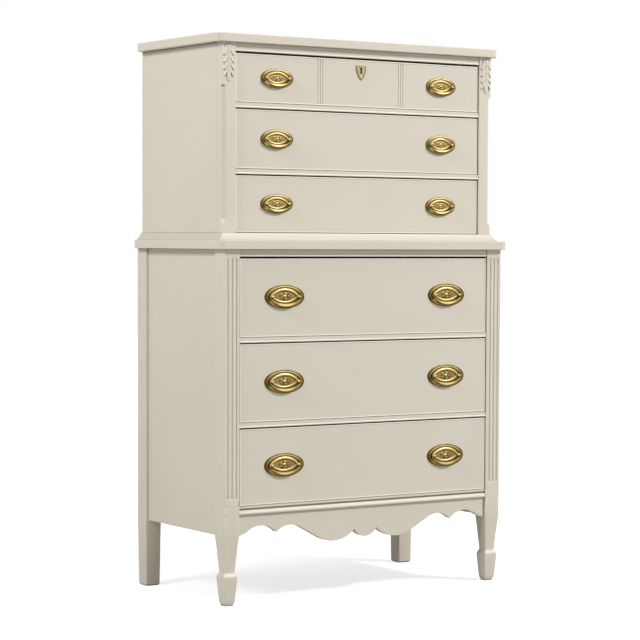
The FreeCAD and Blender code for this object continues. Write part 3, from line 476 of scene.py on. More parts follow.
for name in ("top_board", "waist_board"):
    board = rounded_board(name, PAINTS["x"])
    print(name, [round(v * 1000) for v in board.dimensions])

# %% [markdown]
# The rest of the pieces aren't straight boards, so three more moves are needed. One rounds the
# corners of an outline, one finds the arc through three points, and one stretches a skin over a
# row of matching rings, as a boat's planks lie over its ribs.

# %% Outlines and lofts
def rounded(corners, steps=3, closed=True):
    """An outline whose corners, each given as (a, b, radius), are eased into short curves."""
    points = []
    last = len(corners) - 1
    for here, (a, b, radius) in enumerate(corners):
        middle = Vector((a, b))
        if radius == 0 or (not closed and here in (0, last)):
            points.append((a, b))
            continue
        before = Vector(corners[here - 1][:2]) - middle
        after = Vector(corners[(here + 1) % (last + 1)][:2]) - middle
        reach = radius / math.tan(before.angle(after) / 2)
        start = middle + before.normalized() * reach
        end = middle + after.normalized() * reach
        for step in range(steps + 1):
            share = step / steps
            points.append(tuple(start.lerp(middle, share).lerp(middle.lerp(end, share), share)))
    return points


def arc_through(start, middle, end, steps=12):
    """Points on the circle through three points, from the first to the last."""
    (ax, ay), (bx, by), (cx, cy) = start, middle, end
    twice = 2 * (ax * (by - cy) + bx * (cy - ay) + cx * (ay - by))
    squares = [x * x + y * y for x, y in (start, middle, end)]
    across = (squares[0] * (by - cy) + squares[1] * (cy - ay) + squares[2] * (ay - by)) / twice
    up = (squares[0] * (cx - bx) + squares[1] * (ax - cx) + squares[2] * (bx - ax)) / twice
    radius = math.hypot(ax - across, ay - up)
    first, midway, final = [math.atan2(y - up, x - across) for x, y in (start, middle, end)]
    whole = math.tau
    sweep = (final - first) % whole
    if (midway - first) % whole > sweep:
        sweep -= whole
    return [(across + radius * math.cos(first + sweep * step / steps),
             up + radius * math.sin(first + sweep * step / steps)) for step in range(steps + 1)]


def loft(name, rings, caps=True, loop=False, smooth_degrees=38, **stored):
    """A skin over matching rings; caps close its ends, and loop joins the last ring to the first."""
    count = len(rings[0])
    points = [point for ring in rings for point in ring]
    faces = []
    for level in range(len(rings) if loop else len(rings) - 1):
        faces += band(level * count, (level + 1) % len(rings) * count, count)
    if caps:
        faces += [tuple(range(count)), tuple(range(len(points) - count, len(points)))]
    return new_piece(name, points, faces, smooth_degrees, **stored)


def smooth_share(value):
    """Eases a share from 0 to 1 in at one end and out at the other."""
    value = min(max(value, 0.0), 1.0)
    return value * value * (3 - 2 * value)


def rising(value, start, run):
    """0 up to the start, 1 past the run after it, and eased between them."""
    return smooth_share((value - start) / run)


def hand_side(hand):
    return -1 if hand == "left" else 1


print("outline helpers ready")

# %% [markdown]
# The front posts of the upper chest have a stopped chamfer: a flat planed off the outer corner,
# which curls back to the square corner at both ends. Seen from above the post is a five-sided
# outline, and only the width of the chamfer changes with height, so rings of that outline are
# lofted with the width as a curve. A small nick marks the place where the chisel stopped.

# %% Upper posts with a stopped chamfer
CHAMFER = 9 * MM
CHAMFER_FOOT, CHAMFER_HEAD = 939 * MM, 1276 * MM
CHAMFER_CURL = 11 * MM
ARRIS = 0.7 * MM
JOINT_ARRIS = 2.0 * MM
NICK_DEPTH, NICK_DROP, NICK_SPREAD = 5 * MM, 3.5 * MM, 2 * MM
CORNER_BAND = 0.6 * MM
CURL_STEPS = 8
# The last four points of a ring ease the chamfer into the post's side.
CHAMFER_EDGE_POINTS = (18, 19, 20, 21)


def chamfer_width(height):
    rise = smooth_share((height - CHAMFER_FOOT) / CHAMFER_CURL)
    fall = smooth_share((CHAMFER_HEAD - height) / CHAMFER_CURL)
    return ARRIS + (CHAMFER - ARRIS) * math.sqrt(rise * fall) + NICK_DEPTH * nick_share(height)


def nick_share(height):
    return math.exp(-((CHAMFER_HEAD - NICK_DROP - height) / NICK_SPREAD) ** 2)


def post_ring(low, high, side, height):
    """The post's outline at one height; the outer front corner carries the chamfer."""
    outer, inner = (low.x, high.x) if side < 0 else (high.x, low.x)
    cut = chamfer_width(height)
    tiny = ARRIS / 3
    beside = cut + CORNER_BAND
    corners = [(outer - side * cut, low.y, tiny), (outer - side * beside, low.y, 0), (inner, low.y, ARRIS),
               (inner, high.y, tiny), (outer, high.y, JOINT_ARRIS), (outer, low.y + beside, 0),
               (outer, low.y + cut, tiny)]
    return [Vector((x, y, height)) for x, y in rounded(corners)]


def post_heights(low, high):
    curl = [CHAMFER_CURL * step / CURL_STEPS for step in range(CURL_STEPS + 1)]
    heights = [low.z] + [CHAMFER_FOOT + rise for rise in curl]
    return heights + [CHAMFER_HEAD - rise for rise in reversed(curl)] + [high.z]


for hand in ("left", "right"):
    low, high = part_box(f"upper_post_{hand}")
    heights = post_heights(low, high)
    rings = [post_ring(low, high, hand_side(hand), height) for height in heights]
    # At the nick the points on the chamfer's edge are painted darker, as shade in the nick.
    wear = [-nick_share(height) if point in CHAMFER_EDGE_POINTS else 0.0
            for height in heights for point in range(len(rings[0]))]
    post = loft(f"upper_post_{hand}_chamfered", rings, wear=wear)
    fit(post, PAINTS["z"], "carcass", "paint", f"upper_post_{hand}")
print("chamfer runs", round((CHAMFER_HEAD - CHAMFER_FOOT) * 1000), "mm")

# %% [markdown]
# Rails are boards with a half-round bead along the lower front edge, and the board's flat lies a
# little behind the crest of the bead. The lowest rail is a small moulding of its own: a heavier
# bead, a slope, a deep quirk, and a square fillet on top. Both are sections carried from post to
# post, so each needs only a list of points.

# %% Rails with a bead
RAIL_BEAD, RAIL_FLAT = 5 * MM, 1.2 * MM
BASE_BEAD, BASE_FILLET = 9 * MM, 3 * MM
BEAD_STEPS = 8
# A painted highlight runs along each bead's crest, and a painted shadow lies in a band under the board above.
BEAD_HIGHLIGHT, BOARD_SHADOW, SHADOW_WIDTH = 0.9, -0.7, 3 * MM
RAIL_DEPTH = 60 * MM
RAIL_NOSE_END, BASE_NOSE_END = 121, 115
# The slope and the quirk of the base rail are painted darker, as shade.
SLOPE_IN, SLOPE_TOP, SLOPE_SHADE = 4.2 * MM, 12.2 * MM, -0.1
QUIRK_IN, QUIRK_FOOT, QUIRK_HEAD, QUIRK_SHADE = 6.5 * MM, 12.6 * MM, 16.6 * MM, -0.5
FILLET_FOOT = 17.2 * MM
LOWER_RAIL_INSET = 1.5 * MM
BASE_RAIL_TOP = 245 * MM
SEAT_RAIL_FOOT, SEAT_RAIL_HEAD, SEAT_RAIL_EASE = 897 * MM, 915.5 * MM, 0.6 * MM


def bead_nose(front, bottom, bead, last_degrees):
    """The bead's round, from its underside over the crest and a part of the way back."""
    radius = bead / 2
    return arc(front + radius, bottom + radius, radius, 270, last_degrees, BEAD_STEPS)


def rail_section(front, back, bottom, top, darkening):
    """The bead, then the flat over it, with a value at each point for the painted highlight on the bead's
    crest and the painted shadow given for the top edge.
    """
    nose = bead_nose(front, bottom, RAIL_BEAD, RAIL_NOSE_END)
    flat = [(front + RAIL_FLAT, up) for up in (bottom + RAIL_BEAD, top - SHADOW_WIDTH, top)]
    crest = [BEAD_HIGHLIGHT * math.sin(math.pi * step / BEAD_STEPS) for step in range(BEAD_STEPS + 1)]
    return nose + flat + [(back, top), (back, bottom)], crest + [0.0, 0.0, darkening, 0.0, 0.0]


def base_section(front, back, bottom, top):
    """The heavy bead, the slope, the quirk cut in under the fillet, and the fillet."""
    slope_end = (front + SLOPE_IN, bottom + SLOPE_TOP)
    quirk = [(front + QUIRK_IN, bottom + QUIRK_FOOT), (front + QUIRK_IN, bottom + QUIRK_HEAD)]
    fillet = [(front + BASE_FILLET, bottom + FILLET_FOOT), (front + BASE_FILLET, top)]
    nose = bead_nose(front, bottom, BASE_BEAD, BASE_NOSE_END)
    points = nose + [slope_end] + quirk + fillet + [(back, top), (back, bottom)]
    return points, [0.0] * len(nose) + [SLOPE_SHADE, QUIRK_SHADE, QUIRK_SHADE, 0.0, 0.0, 0.0, 0.0]


def rail(name, node_name, section, wear):
    low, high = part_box(node_name)
    board = prism(name, "x", section, low.x, high.x, 0, wear)
    return fit(board, PAINTS["x"], "carcass", "paint", node_name)


upper_rails_low, upper_rails_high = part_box("upper_rails")
lower_rails_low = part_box("lower_rails")[0]
UPPER_RAIL_FRONT = upper_rails_low.y
LOWER_RAIL_FRONT = lower_rails_low.y + LOWER_RAIL_INSET
# For each rail: its node, its front, and the heights of its foot and its top.
RAILS = {
    "upper_top_rail": ("upper_rails", UPPER_RAIL_FRONT, 1358 * MM, 1379 * MM),
    "upper_rail_1": ("upper_rails", UPPER_RAIL_FRONT, 1221 * MM, 1234 * MM),
    "upper_rail_2": ("upper_rails", UPPER_RAIL_FRONT, 1059 * MM, 1072 * MM),
    "lower_top_rail": ("lower_rails", LOWER_RAIL_FRONT, 857 * MM, 875 * MM),
    "lower_rail_1": ("lower_rails", LOWER_RAIL_FRONT, 646 * MM, 659 * MM),
    "lower_rail_2": ("lower_rails", LOWER_RAIL_FRONT, 437 * MM, 450 * MM),
}
rails = {}
for name, (node_name, front, bottom, top) in RAILS.items():
    # Rails right under a board carry its painted shadow along their top edge.
    darkening = BOARD_SHADOW if "top" in name else 0.0
    rails[name] = rail(name, node_name, *rail_section(front, front + RAIL_DEPTH, bottom, top, darkening))
base_front = lower_rails_low.y
rail("base_rail", "lower_rails",
     *base_section(base_front, base_front + RAIL_DEPTH, lower_rails_low.z, BASE_RAIL_TOP))
seat_section = box_section(UPPER_RAIL_FRONT, UPPER_RAIL_FRONT + RAIL_DEPTH, SEAT_RAIL_FOOT, SEAT_RAIL_HEAD)
bottom_rail = prism("upper_bottom_rail", "x", seat_section, upper_rails_low.x, upper_rails_high.x,
                    SEAT_RAIL_EASE)
fit(bottom_rail, PAINTS["x"], "carcass", "paint", "upper_rails")
print(len(RAILS) + 2, "rails")

# %% [markdown]
# A cove moulding seats the upper chest on the waist board. It goes round three sides, and its
# front corners are mitred. A loft does both at once: the same section stands at the back left,
# at each mitre and at the back right, and the skin between them is the moulding.

# %% Waist moulding
COVE_LIP, COVE_SHOULDER = 1.2 * MM, 2 * MM
COVE_INSET, COVE_START, COVE_HOLLOW_SHARE = 0.5 * MM, 0.6 * MM, 0.6
COVE_STEPS, COVE_SHADE = 10, -0.14


def cove_section(reach, height):
    """Distance out from the chest and height above the board, from the lower edge to the wall."""
    rise = (height - COVE_LIP) / 2 + COVE_LIP
    halfway = reach - (reach - COVE_SHOULDER) * COVE_HOLLOW_SHARE
    start = (reach - COVE_INSET, COVE_LIP + COVE_START)
    curve = arc_through(start, (halfway, rise), (COVE_SHOULDER, height), COVE_STEPS)
    return [(0, 0), (reach, 0), (reach, COVE_LIP), (reach - COVE_INSET, COVE_LIP)] + curve + [(0, height)]


low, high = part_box("waist_moulding")
post_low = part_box("upper_post_left")[0]
cove = cove_section(post_low.y - low.y, high.z - low.z)
stations = []
for side, outward_y, wall_y in ((-1, 0, high.y), (-1, -1, post_low.y), (1, -1, post_low.y), (1, 0, high.y)):
    wall_x = side * abs(post_low.x)
    stations.append([Vector((wall_x + side * out, wall_y + outward_y * out, low.z + up)) for out, up in cove])
# Four clean points at the lip, the hollow with painted shade, its darkest point against the post, and the
# wall.
wear = [0.0] * 4 + [COVE_SHADE] * COVE_STEPS + [COVE_SHADE * 4, 0.0]
moulding = loft("waist_cove", stations, wear=wear * len(stations))
fit(moulding, PAINTS["x"], "carcass", "paint", "waist_moulding")
print("cove stands", round((post_low.y - low.y) * 1000, 1), "mm proud")

# %% [markdown]
# A front leg is one square post from the waist board to the floor. Its upper part carries three
# flutes with rounded ends and two scribed lines below them, and below the chest it tapers hollow
# to an ankle and flares into a spade foot. Each ring of the loft is the leg's square outline at one
# height, with extra points where the flutes are, and those points sink in by the flute's depth.

# %% Front legs
FLUTE_RADIUS = 3.5 * MM
FLUTE_DEPTH = 2.5 * MM
FLUTE_SPACING = 12 * MM
FLUTE_FOOT, FLUTE_HEAD = 267 * MM, 849 * MM
FLUTE_HALF = math.sqrt(FLUTE_RADIUS ** 2 - (FLUTE_RADIUS - FLUTE_DEPTH) ** 2)
FLUTE_SHARES = (-1.12, -1.0, -0.93, -0.78, -0.55, -0.28, 0.0, 0.28, 0.55, 0.78, 0.93, 1.0, 1.12)
SCRIBE_LINES = (222.8 * MM, 243.5 * MM)
SCRIBE_HALF, SCRIBE_DEPTH = 0.9 * MM, 0.7 * MM
TAPER_HEIGHT = 175 * MM
TAPER_HOLLOW = 0.3 * MM
TAPER_STEPS = 12
ANKLE_HEIGHT, ANKLE_HALF = 83 * MM, 14 * MM
LEG_EASE, FOOT_EASE = 1.3 * MM, 1.6 * MM
SCRIBE_SHARES = (-1, -0.4, 0, 0.4, 1)
FLUTE_END_SHARES = (0.95, 0.9, 0.8, 0.65, 0.4, 0.2, 0)
# Height, half width and radius of each corner of the foot's outline, in millimetres.
FOOT_PROFILE = ((0, 10.2, 0), (0.4, 10.8, 0), (10, 14.5, 3), (65, 19, 1.2), (73, 19, 1.0),
                (81.5, 14.1, 2.5), (83, 14, 0))


def flute_depth(across, height):
    """How deep the flute is at a place on the leg's face."""
    past = max(FLUTE_FOOT - height, height - FLUTE_HEAD, 0)
    room = FLUTE_RADIUS ** 2 - across ** 2 - past ** 2
    return max(math.sqrt(room) - (FLUTE_RADIUS - FLUTE_DEPTH), 0) if room > 0 else 0


def scribe_depth(height):
    nearest = min(abs(height - line) for line in SCRIBE_LINES)
    return SCRIBE_DEPTH * max(1 - nearest / SCRIBE_HALF, 0)


def leg_levels():
    """Heights of the rings, with the half width of the leg at each."""
    foot = [(height * MM, half * MM, radius * MM) for height, half, radius in FOOT_PROFILE]
    levels = rounded(foot, steps=4, closed=False)
    for step in range(1, TAPER_STEPS + 1):
        share = step / TAPER_STEPS
        hollow = 4 * TAPER_HOLLOW * share * (1 - share)
        half = ANKLE_HALF + (LEG_HALF - ANKLE_HALF) * share - hollow
        levels.append((ANKLE_HEIGHT + (TAPER_HEIGHT - ANKLE_HEIGHT) * share, half))
    rises = [line + SCRIBE_HALF * share for line in SCRIBE_LINES for share in SCRIBE_SHARES]
    ends = [FLUTE_RADIUS * share for share in FLUTE_END_SHARES]
    rises += [FLUTE_FOOT - end for end in ends] + [FLUTE_HEAD + end for end in reversed(ends)] + [LEG_TOP]
    return levels + [(height, LEG_HALF) for height in rises]


def leg_ring(centre, height, half):
    """One square outline with eased corners, and the flutes sunk into its front face."""
    deeper = (LEG_DEPTH_HALF - LEG_HALF) * min(max((half - ANKLE_HALF) / (LEG_HALF - ANKLE_HALF), 0), 1)
    deep = half + (deeper if height > ANKLE_HEIGHT else 0)
    ease = LEG_EASE if height > ANKLE_HEIGHT else FOOT_EASE
    corners = [(-half, -deep), (half, -deep), (half, deep), (-half, deep)]
    eased = rounded([(a, b, ease) for a, b in corners])
    left_corner, others = eased[:4], eased[4:]
    front = []
    for step in (-1, 0, 1):
        for share in FLUTE_SHARES:
            across = FLUTE_SPACING * step + FLUTE_HALF * share
            sink = flute_depth(FLUTE_HALF * share, height) + scribe_depth(height)
            front.append((across * half / LEG_HALF, -deep + sink))
    return [Vector((centre.x + a, centre.y + b, height)) for a, b in left_corner + front + others]


low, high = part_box("front_leg_left")
LEG_HALF, LEG_DEPTH_HALF, LEG_TOP = (high.x - low.x) / 2, (high.y - low.y) / 2, high.z
for hand in ("left", "right"):
    low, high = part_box(f"front_leg_{hand}")
    rings = [leg_ring((low + high) / 2, height, half) for height, half in leg_levels()]
    leg = fit(loft(f"front_leg_{hand}_fluted", rings, smooth_degrees=32), PAINTS["z"], "carcass", "paint",
              f"front_leg_{hand}")
print("front leg", len(leg.data.polygons), "faces")

# %% [markdown]
# The rear legs are plain posts. Below the chest they taper a little, and their soles are rounded
# so that the dresser slides without splitting them. Above, the inner back corner is rebated for
# the back panel, which makes the section L-shaped.

# %% Rear legs
REAR_TAPER, SOLE_ROUND = 2.5 * MM, 6 * MM
REAR_ARRIS = 1.6 * MM
ROUND_STEP_DEGREES = 15
panel_low, panel_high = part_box("lower_back")


def rear_leg(hand):
    """The tapered foot and the rebated post over it, as two pieces in one place."""
    side, (low, high) = hand_side(hand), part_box(f"rear_leg_{hand}")
    rings = []
    turns = [math.radians(degrees) for degrees in range(0, 91, ROUND_STEP_DEGREES)]
    levels = [(SOLE_ROUND * (1 - math.cos(turn)), SOLE_ROUND * (1 - math.sin(turn))) for turn in turns]
    for height, less in levels + [(panel_low.z, 0)]:
        inset = less + REAR_TAPER * (1 - height / panel_low.z)
        corners = [(low.x + inset, low.y + inset), (high.x - inset, low.y + inset),
                   (high.x - inset, high.y - inset), (low.x + inset, high.y - inset)]
        eased = rounded([(x, y, REAR_ARRIS) for x, y in corners])
        rings.append([Vector((x, y, low.z + height)) for x, y in eased])
    fit(loft(f"rear_foot_{hand}", rings), PAINTS["z"], "carcass", "paint", f"rear_leg_{hand}")
    outer, inner = (low.x, high.x) if side < 0 else (high.x, low.x)
    rebate = side * panel_high.x
    section = [(outer, low.y, REAR_ARRIS), (inner, low.y, REAR_ARRIS), (inner, panel_low.y, 0),
               (rebate, panel_low.y, 0), (rebate, high.y, 0), (outer, high.y, REAR_ARRIS)]
    post = prism(f"rear_post_{hand}", "z", rounded(section), panel_low.z, high.z, 0)
    fit(post, PAINTS["z"], "carcass", "paint", f"rear_leg_{hand}")


for hand in ("left", "right"):
    rear_leg(hand)
print("rear feet taper over", round(panel_low.z * 1000), "mm")

# %% [markdown]
# The apron is a board sawn to a scalloped lower edge. The edge is a chain of arcs and short
# straights, the same on both sides of the middle, so half of it is written as shares of the half
# width and of the drop. Each entry is a point on the arc and its end, or only an end.

# %% Apron
APRON_SHARES = (
    ((0.253, 1.000), (0.372, 0.860)),
    ((0.505, 0.524),),
    ((0.582, 0.396), (0.705, 0.586)),
    ((0.824, 0.354), (0.936, 0.536)),
    ((0.990, 0.634),),
    ((1.000, 0.634),),
)
MIDDLE_LOBE_SHARE, NOTCH_SHARES = 0.933, (0.09, 0.69)
SCALLOP_STEPS, APRON_EASE = 14, 1.2 * MM

low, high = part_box("apron")


def apron_point(across_share, down_share):
    return (high.x * across_share, high.z - (high.z - low.z) * down_share)


notch = apron_point(*NOTCH_SHARES)
lobe = arc_through((-notch[0], notch[1]), apron_point(0, MIDDLE_LOBE_SHARE), notch, SCALLOP_STEPS)
half_edge = [notch]
for step in APRON_SHARES:
    ends = [apron_point(*shares) for shares in step]
    half_edge += arc_through(half_edge[-1], *ends, SCALLOP_STEPS)[1:] if len(ends) == 2 else ends
right_edge = half_edge[1:] + [(high.x, high.z)]
left_edge = [(-x, z) for x, z in reversed(right_edge)]
apron_outline = lobe + right_edge + left_edge
apron = prism("apron_scalloped", "y", apron_outline, low.y, high.y, radius=APRON_EASE)
fit(apron, PAINTS["x"], "carcass", "paint", "apron")
print("apron edge has", len(apron_outline), "points")

# %% [markdown]
# A drawer front has a narrow bead standing proud all round, and the bead's corners are mitred.
# Rings that shrink towards the middle give exactly that: every ring is the front's rectangle
# moved in by some distance, and a profile says how deep the surface lies there. The top drawer's
# front is also cut by two bundles of upright reeds, so that it looks like three small drawers.
# Its rings carry extra points at the reeds, and the inner ones sink at each groove.

# %% Drawer fronts
# The front's back edge, seen in the gaps, is painted darker as shade, and the bead's crest lighter as a
# painted highlight.
FRONT_BEAD, BEAD_RISE, EDGE_SHADE = 3 * MM, 1.2 * MM, -0.7
REED_OFFSET, REED_SPACING, REED_RADIUS = 122 * MM, 7 * MM, 1.5 * MM
BEAD_GAPS = (0.1 * MM, 0.6 * MM)
REED_SINK_SHARE = 0.8
REED_SHARES = (-1.05, -1.0, -0.85, -0.6, -0.3, 0.0, 0.3, 0.6, 0.85, 1.0, 1.05)


def front_profile():
    """Distance in from the edge, depth below the bead's crest, and painted light, shade at the back edge and
    a highlight on the crest: the half round, then the field.
    """
    turns = [math.radians(degrees) for degrees in range(0, 181, ROUND_STEP_DEGREES)]
    bead = [(FRONT_BEAD / 2 * (1 - math.cos(turn)), BEAD_RISE * (1 - math.sin(turn)),
             BEAD_HIGHLIGHT * math.sin(turn)) for turn in turns]
    bead[0] = (0, BEAD_RISE, EDGE_SHADE)
    return bead + [(FRONT_BEAD + gap, BEAD_RISE, 0.0) for gap in BEAD_GAPS]


def reed_places():
    """Sideways places of the points across every reed groove, from left to right."""
    middles = [side * REED_OFFSET + REED_SPACING * step for side in (-1, 1) for step in (-1, 0, 1)]
    return [(middle + REED_RADIUS * share, share) for middle in middles for share in REED_SHARES]


def front_ring(low, high, inset, depth, reeds):
    """One rectangle of the front; reeds gives (place, sink) pairs along its long edges."""
    left, right, bottom, top = low.x + inset, high.x - inset, low.z + inset, high.z - inset
    y = low.y + depth
    lower = [Vector((x, y + sink, bottom)) for x, sink in reeds]
    upper = [Vector((x, y + sink, top)) for x, sink in reversed(reeds)]
    return [Vector((left, y, bottom))] + lower + [Vector((right, y, bottom)), Vector((right, y, top))] \
        + upper + [Vector((left, y, top))]


def drawer_front(number):
    """The front of one drawer as rings from its back edge to the middle of its face."""
    low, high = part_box(f"drawer_{number}_front")
    places = reed_places() if number == 1 else []
    flat = [(x, 0) for x, share in places]
    sunk = [(x, REED_RADIUS * REED_SINK_SHARE * math.sqrt(max(1 - share * share, 0))) for x, share in places]
    profile = front_profile()
    rings = [front_ring(low, high, 0, high.y - low.y, flat)]
    rings += [front_ring(low, high, inset, depth, flat) for inset, depth, wear in profile[:-1]]
    rings += [front_ring(low, high, inset, depth, sunk) for inset, depth, wear in profile[-1:]]
    count = len(rings[0])
    points = [point for ring in rings for point in ring]
    faces = [tuple(range(count))]
    for level in range(len(rings) - 1):
        faces += band(level * count, (level + 1) * count, count)
    inner = len(points) - count
    columns = len(places) + 2
    for column in range(columns - 1):
        lower, upper = inner + column, inner + count - 1 - column
        faces.append((lower, lower + 1, upper - 1, upper))
    wear = [value for value in [0.0] + [wear for inset, depth, wear in profile] for point in range(count)]
    return new_piece(f"drawer_{number}_beaded_front", points, faces, smooth_degrees=50, wear=wear)


DRAWERS = range(1, 7)
fronts = {}
for number in DRAWERS:
    fronts[number] = fit(drawer_front(number), PAINTS["x"], f"drawer_{number}", "paint",
                         f"drawer_{number}_front")
print("fronts", [len(front.data.polygons) for front in fronts.values()])

# %% [markdown]
# The keyhole really goes through the top front, the lock is let into the front's back, and the
# bolt shoots up into a mortise in the rail over the drawer. A Boolean takes all three out. Its
# result is written back into the mesh, so that the cutters can go.

# %% Keyhole, lock recess and bolt mortise
lock_low, lock_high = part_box("lock_body")
plate_low, plate_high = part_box("keyhole_escutcheon")
KEYHOLE_RADIUS, SLOT_HALF, SLOT_LENGTH = 3.4 * MM, 2 * MM, 13 * MM
SLOT_FLARE_SHARE, HOLE_STEPS = 1.15, 28
KEYHOLE_DROP = 8 * MM
KEYHOLE_HEIGHT = plate_high.z - KEYHOLE_DROP
LOCK_FIT = 0.2 * MM
CUTTER_SPARE, KEYHOLE_STOP = 10 * MM, 5 * MM
BOLT_ROOM, MORTISE_DEPTH = 1 * MM, 8 * MM


def keyhole_outline():
    """A round hole over a slot that flares a little towards its foot."""
    lean = math.degrees(math.asin(SLOT_HALF / KEYHOLE_RADIUS))
    hole = arc(0, KEYHOLE_HEIGHT, KEYHOLE_RADIUS, -90 + lean, 270 - lean, HOLE_STEPS)
    foot = KEYHOLE_HEIGHT - SLOT_LENGTH
    return hole + [(side * SLOT_HALF * SLOT_FLARE_SHARE, foot) for side in (-1, 1)]


def cut_away(piece, *cutters):
    """Takes the cutters out of a piece for good."""
    for cutter in cutters:
        saw = piece.modifiers.new("saw", "BOOLEAN")
        saw.object = cutter
        saw.solver = "EXACT"
    bpy.context.view_layer.update()
    ready = bpy.data.meshes.new_from_object(piece.evaluated_get(bpy.context.evaluated_depsgraph_get()))
    piece.modifiers.clear()
    piece.data = ready
    ready.set_sharp_from_angle(angle=math.radians(50))
    for cutter in cutters:
        bpy.data.objects.remove(cutter)


front_low, front_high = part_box("drawer_1_front")
field_y = front_low.y + BEAD_RISE
keyhole_cutter = prism("keyhole_cutter", "y", keyhole_outline(), front_low.y - CUTTER_SPARE,
                       front_high.y - KEYHOLE_STOP, 0)
recess = box_section(lock_low.x - LOCK_FIT, lock_high.x + LOCK_FIT, lock_low.z - LOCK_FIT,
                     front_high.z + CUTTER_SPARE)
lock_cutter = prism("lock_cutter", "y", recess, lock_low.y - LOCK_FIT, front_high.y + CUTTER_SPARE, 0)
cut_away(fronts[1], keyhole_cutter, lock_cutter)
bolt_low, bolt_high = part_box("lock_bolt")
mortise = box_section(bolt_low.x - BOLT_ROOM, bolt_high.x + BOLT_ROOM, bolt_low.y - BOLT_ROOM,
                      bolt_high.y + BOLT_ROOM)
top_rail_foot = min(corner[2] for corner in rails["upper_top_rail"].bound_box)
mortise_cutter = prism("mortise_cutter", "z", mortise, top_rail_foot - CUTTER_SPARE,
                       top_rail_foot + MORTISE_DEPTH, 0)
cut_away(rails["upper_top_rail"], mortise_cutter)
print("top front after cutting", len(fronts[1].data.polygons), "faces")

# %% [markdown]
# Each pull's back plate is a stamped oval: a rim darkened by painted shadow along its edge, a raised
# band, and inside it a raised ring that comes to points at the studs, like an eye. A flower-shaped
# rosette fills the eye. Again rings do it. Each entry of the profile has the share of the plate's
# width and of its height, how pointed the ring is, its height in millimetres and its darkness, which
# is patina, and painted shadow at the rim. The eye is set a little above the middle, clear of the
# bail. The rosette's rings are ovals whose height waves round them, once per petal. An entry of
# their profile has the share of the plate's width, the height in millimetres, how strong the wave
# is, and the patina.

# %% Back plates of the pulls
# In the first rows the full darkness is painted shadow along the plate's outer edge; in the grooves and round
# the eye it is patina.
PLATE_PROFILE = (
    (1.000, 1.000, 0, 0.0, 1.0), (1.000, 1.000, 0, 0.9, 1.0), (0.980, 0.970, 0, 1.4, 1.0),
    (0.955, 0.935, 0, 1.5, 1.0), (0.930, 0.900, 0, 1.7, 0.6), (0.905, 0.870, 0.1, 2.2, 0.0),
    (0.875, 0.835, 0.2, 2.3, 0.0), (0.850, 0.805, 0.4, 1.8, 0.5), (0.825, 0.770, 0.6, 1.1, 1.0),
    (0.800, 0.735, 0.8, 0.8, 1.0), (0.770, 0.700, 0.95, 1.0, 0.9), (0.740, 0.665, 1, 1.7, 0.3),
    (0.710, 0.620, 1, 2.6, 0.0), (0.680, 0.570, 1, 3.2, 0.0), (0.655, 0.520, 1, 3.3, 0.0),
    (0.630, 0.470, 1, 2.9, 0.1), (0.605, 0.430, 1, 2.0, 0.5), (0.585, 0.400, 1, 1.3, 0.9),
    (0.560, 0.370, 1, 1.0, 0.8), (0.520, 0.345, 0.95, 1.2, 0.4), (0.450, 0.330, 0.8, 1.4, 0.4),
)
ROSETTE_PROFILE = (
    (0.300, 1.4, 0.0, 0.5), (0.275, 1.3, 0.0, 0.9), (0.250, 1.6, 0.4, 0.7), (0.225, 2.2, 0.9, 0.4),
    (0.195, 2.4, 1.0, 0.3), (0.165, 2.3, 0.9, 0.4), (0.135, 1.9, 0.5, 0.8), (0.115, 1.8, 0.1, 1.0),
    (0.095, 2.3, 0.0, 0.5), (0.070, 3.0, 0.0, 0.0), (0.040, 3.5, 0.0, 0.0), (0.008, 3.6, 0.0, 0.0),
)
PETALS, PETAL_WAVE, PETAL_STAIN = 5, 0.3, 0.9
ROSETTE_TALL_SHARE = 0.62
EYE_RISE_SHARE, EYE_START_SHARE, EYE_RUN_SHARE = 0.05, 0.9, 0.2
RING_POINTS = 112
END_PATINA, END_START_SHARE, END_RUN_SHARE = 0.7, 0.6, 0.3


def eye_ring(half_width, half_height, pointed, lift, rise=0.0):
    """An oval ring, or with pointed at 1 two arcs that meet at the ends, or anything between."""
    radius = (half_width ** 2 + half_height ** 2) / (2 * half_height)
    points = []
    for turn in circle(RING_POINTS):
        x = half_width * math.cos(turn)
        bow = math.sqrt(max(radius ** 2 - x ** 2, 0)) - (radius - half_height)
        up = abs(math.sin(turn)) * half_height * (1 - pointed) + bow * pointed
        points.append(Vector((x, -lift, rise + math.copysign(up, math.sin(turn)))))
    return points


def rosette_ring(half_width, lift, wave, rise):
    """An oval whose height above the plate rises at every petal and sinks between them."""
    points = []
    for turn in circle(RING_POINTS):
        petal = wave * PETAL_WAVE * MM * math.cos(PETALS * turn)
        points.append(Vector((half_width * math.cos(turn), -lift - petal,
                              rise + half_width * ROSETTE_TALL_SHARE * math.sin(turn))))
    return points


def pull_plate(name, half_width, half_height, darkness_scale):
    """One stamped plate about the middle of its back, facing the front."""
    rings, patina = [], []
    eye_rise = half_height * EYE_RISE_SHARE
    for wide, tall, pointed, lift, darkness in PLATE_PROFILE:
        rise = eye_rise * smooth_share((EYE_START_SHARE - wide) / EYE_RUN_SHARE)
        rings.append(eye_ring(half_width * wide, half_height * tall, pointed, lift * MM, rise))
        ends = [rising(abs(p.x) / half_width, END_START_SHARE, END_RUN_SHARE) for p in rings[-1]]
        patina += [darkness + END_PATINA * end for end in ends]
    for share, lift, wave, darkness in ROSETTE_PROFILE:
        rings.append(rosette_ring(half_width * share, lift * MM, wave, eye_rise))
        patina += [darkness + PETAL_STAIN * wave * max(0, -math.cos(PETALS * math.tau * step / RING_POINTS))
                   for step in range(RING_POINTS)]
    return loft(name, rings, smooth_degrees=60, patina=[darkness_scale * darkness for darkness in patina])


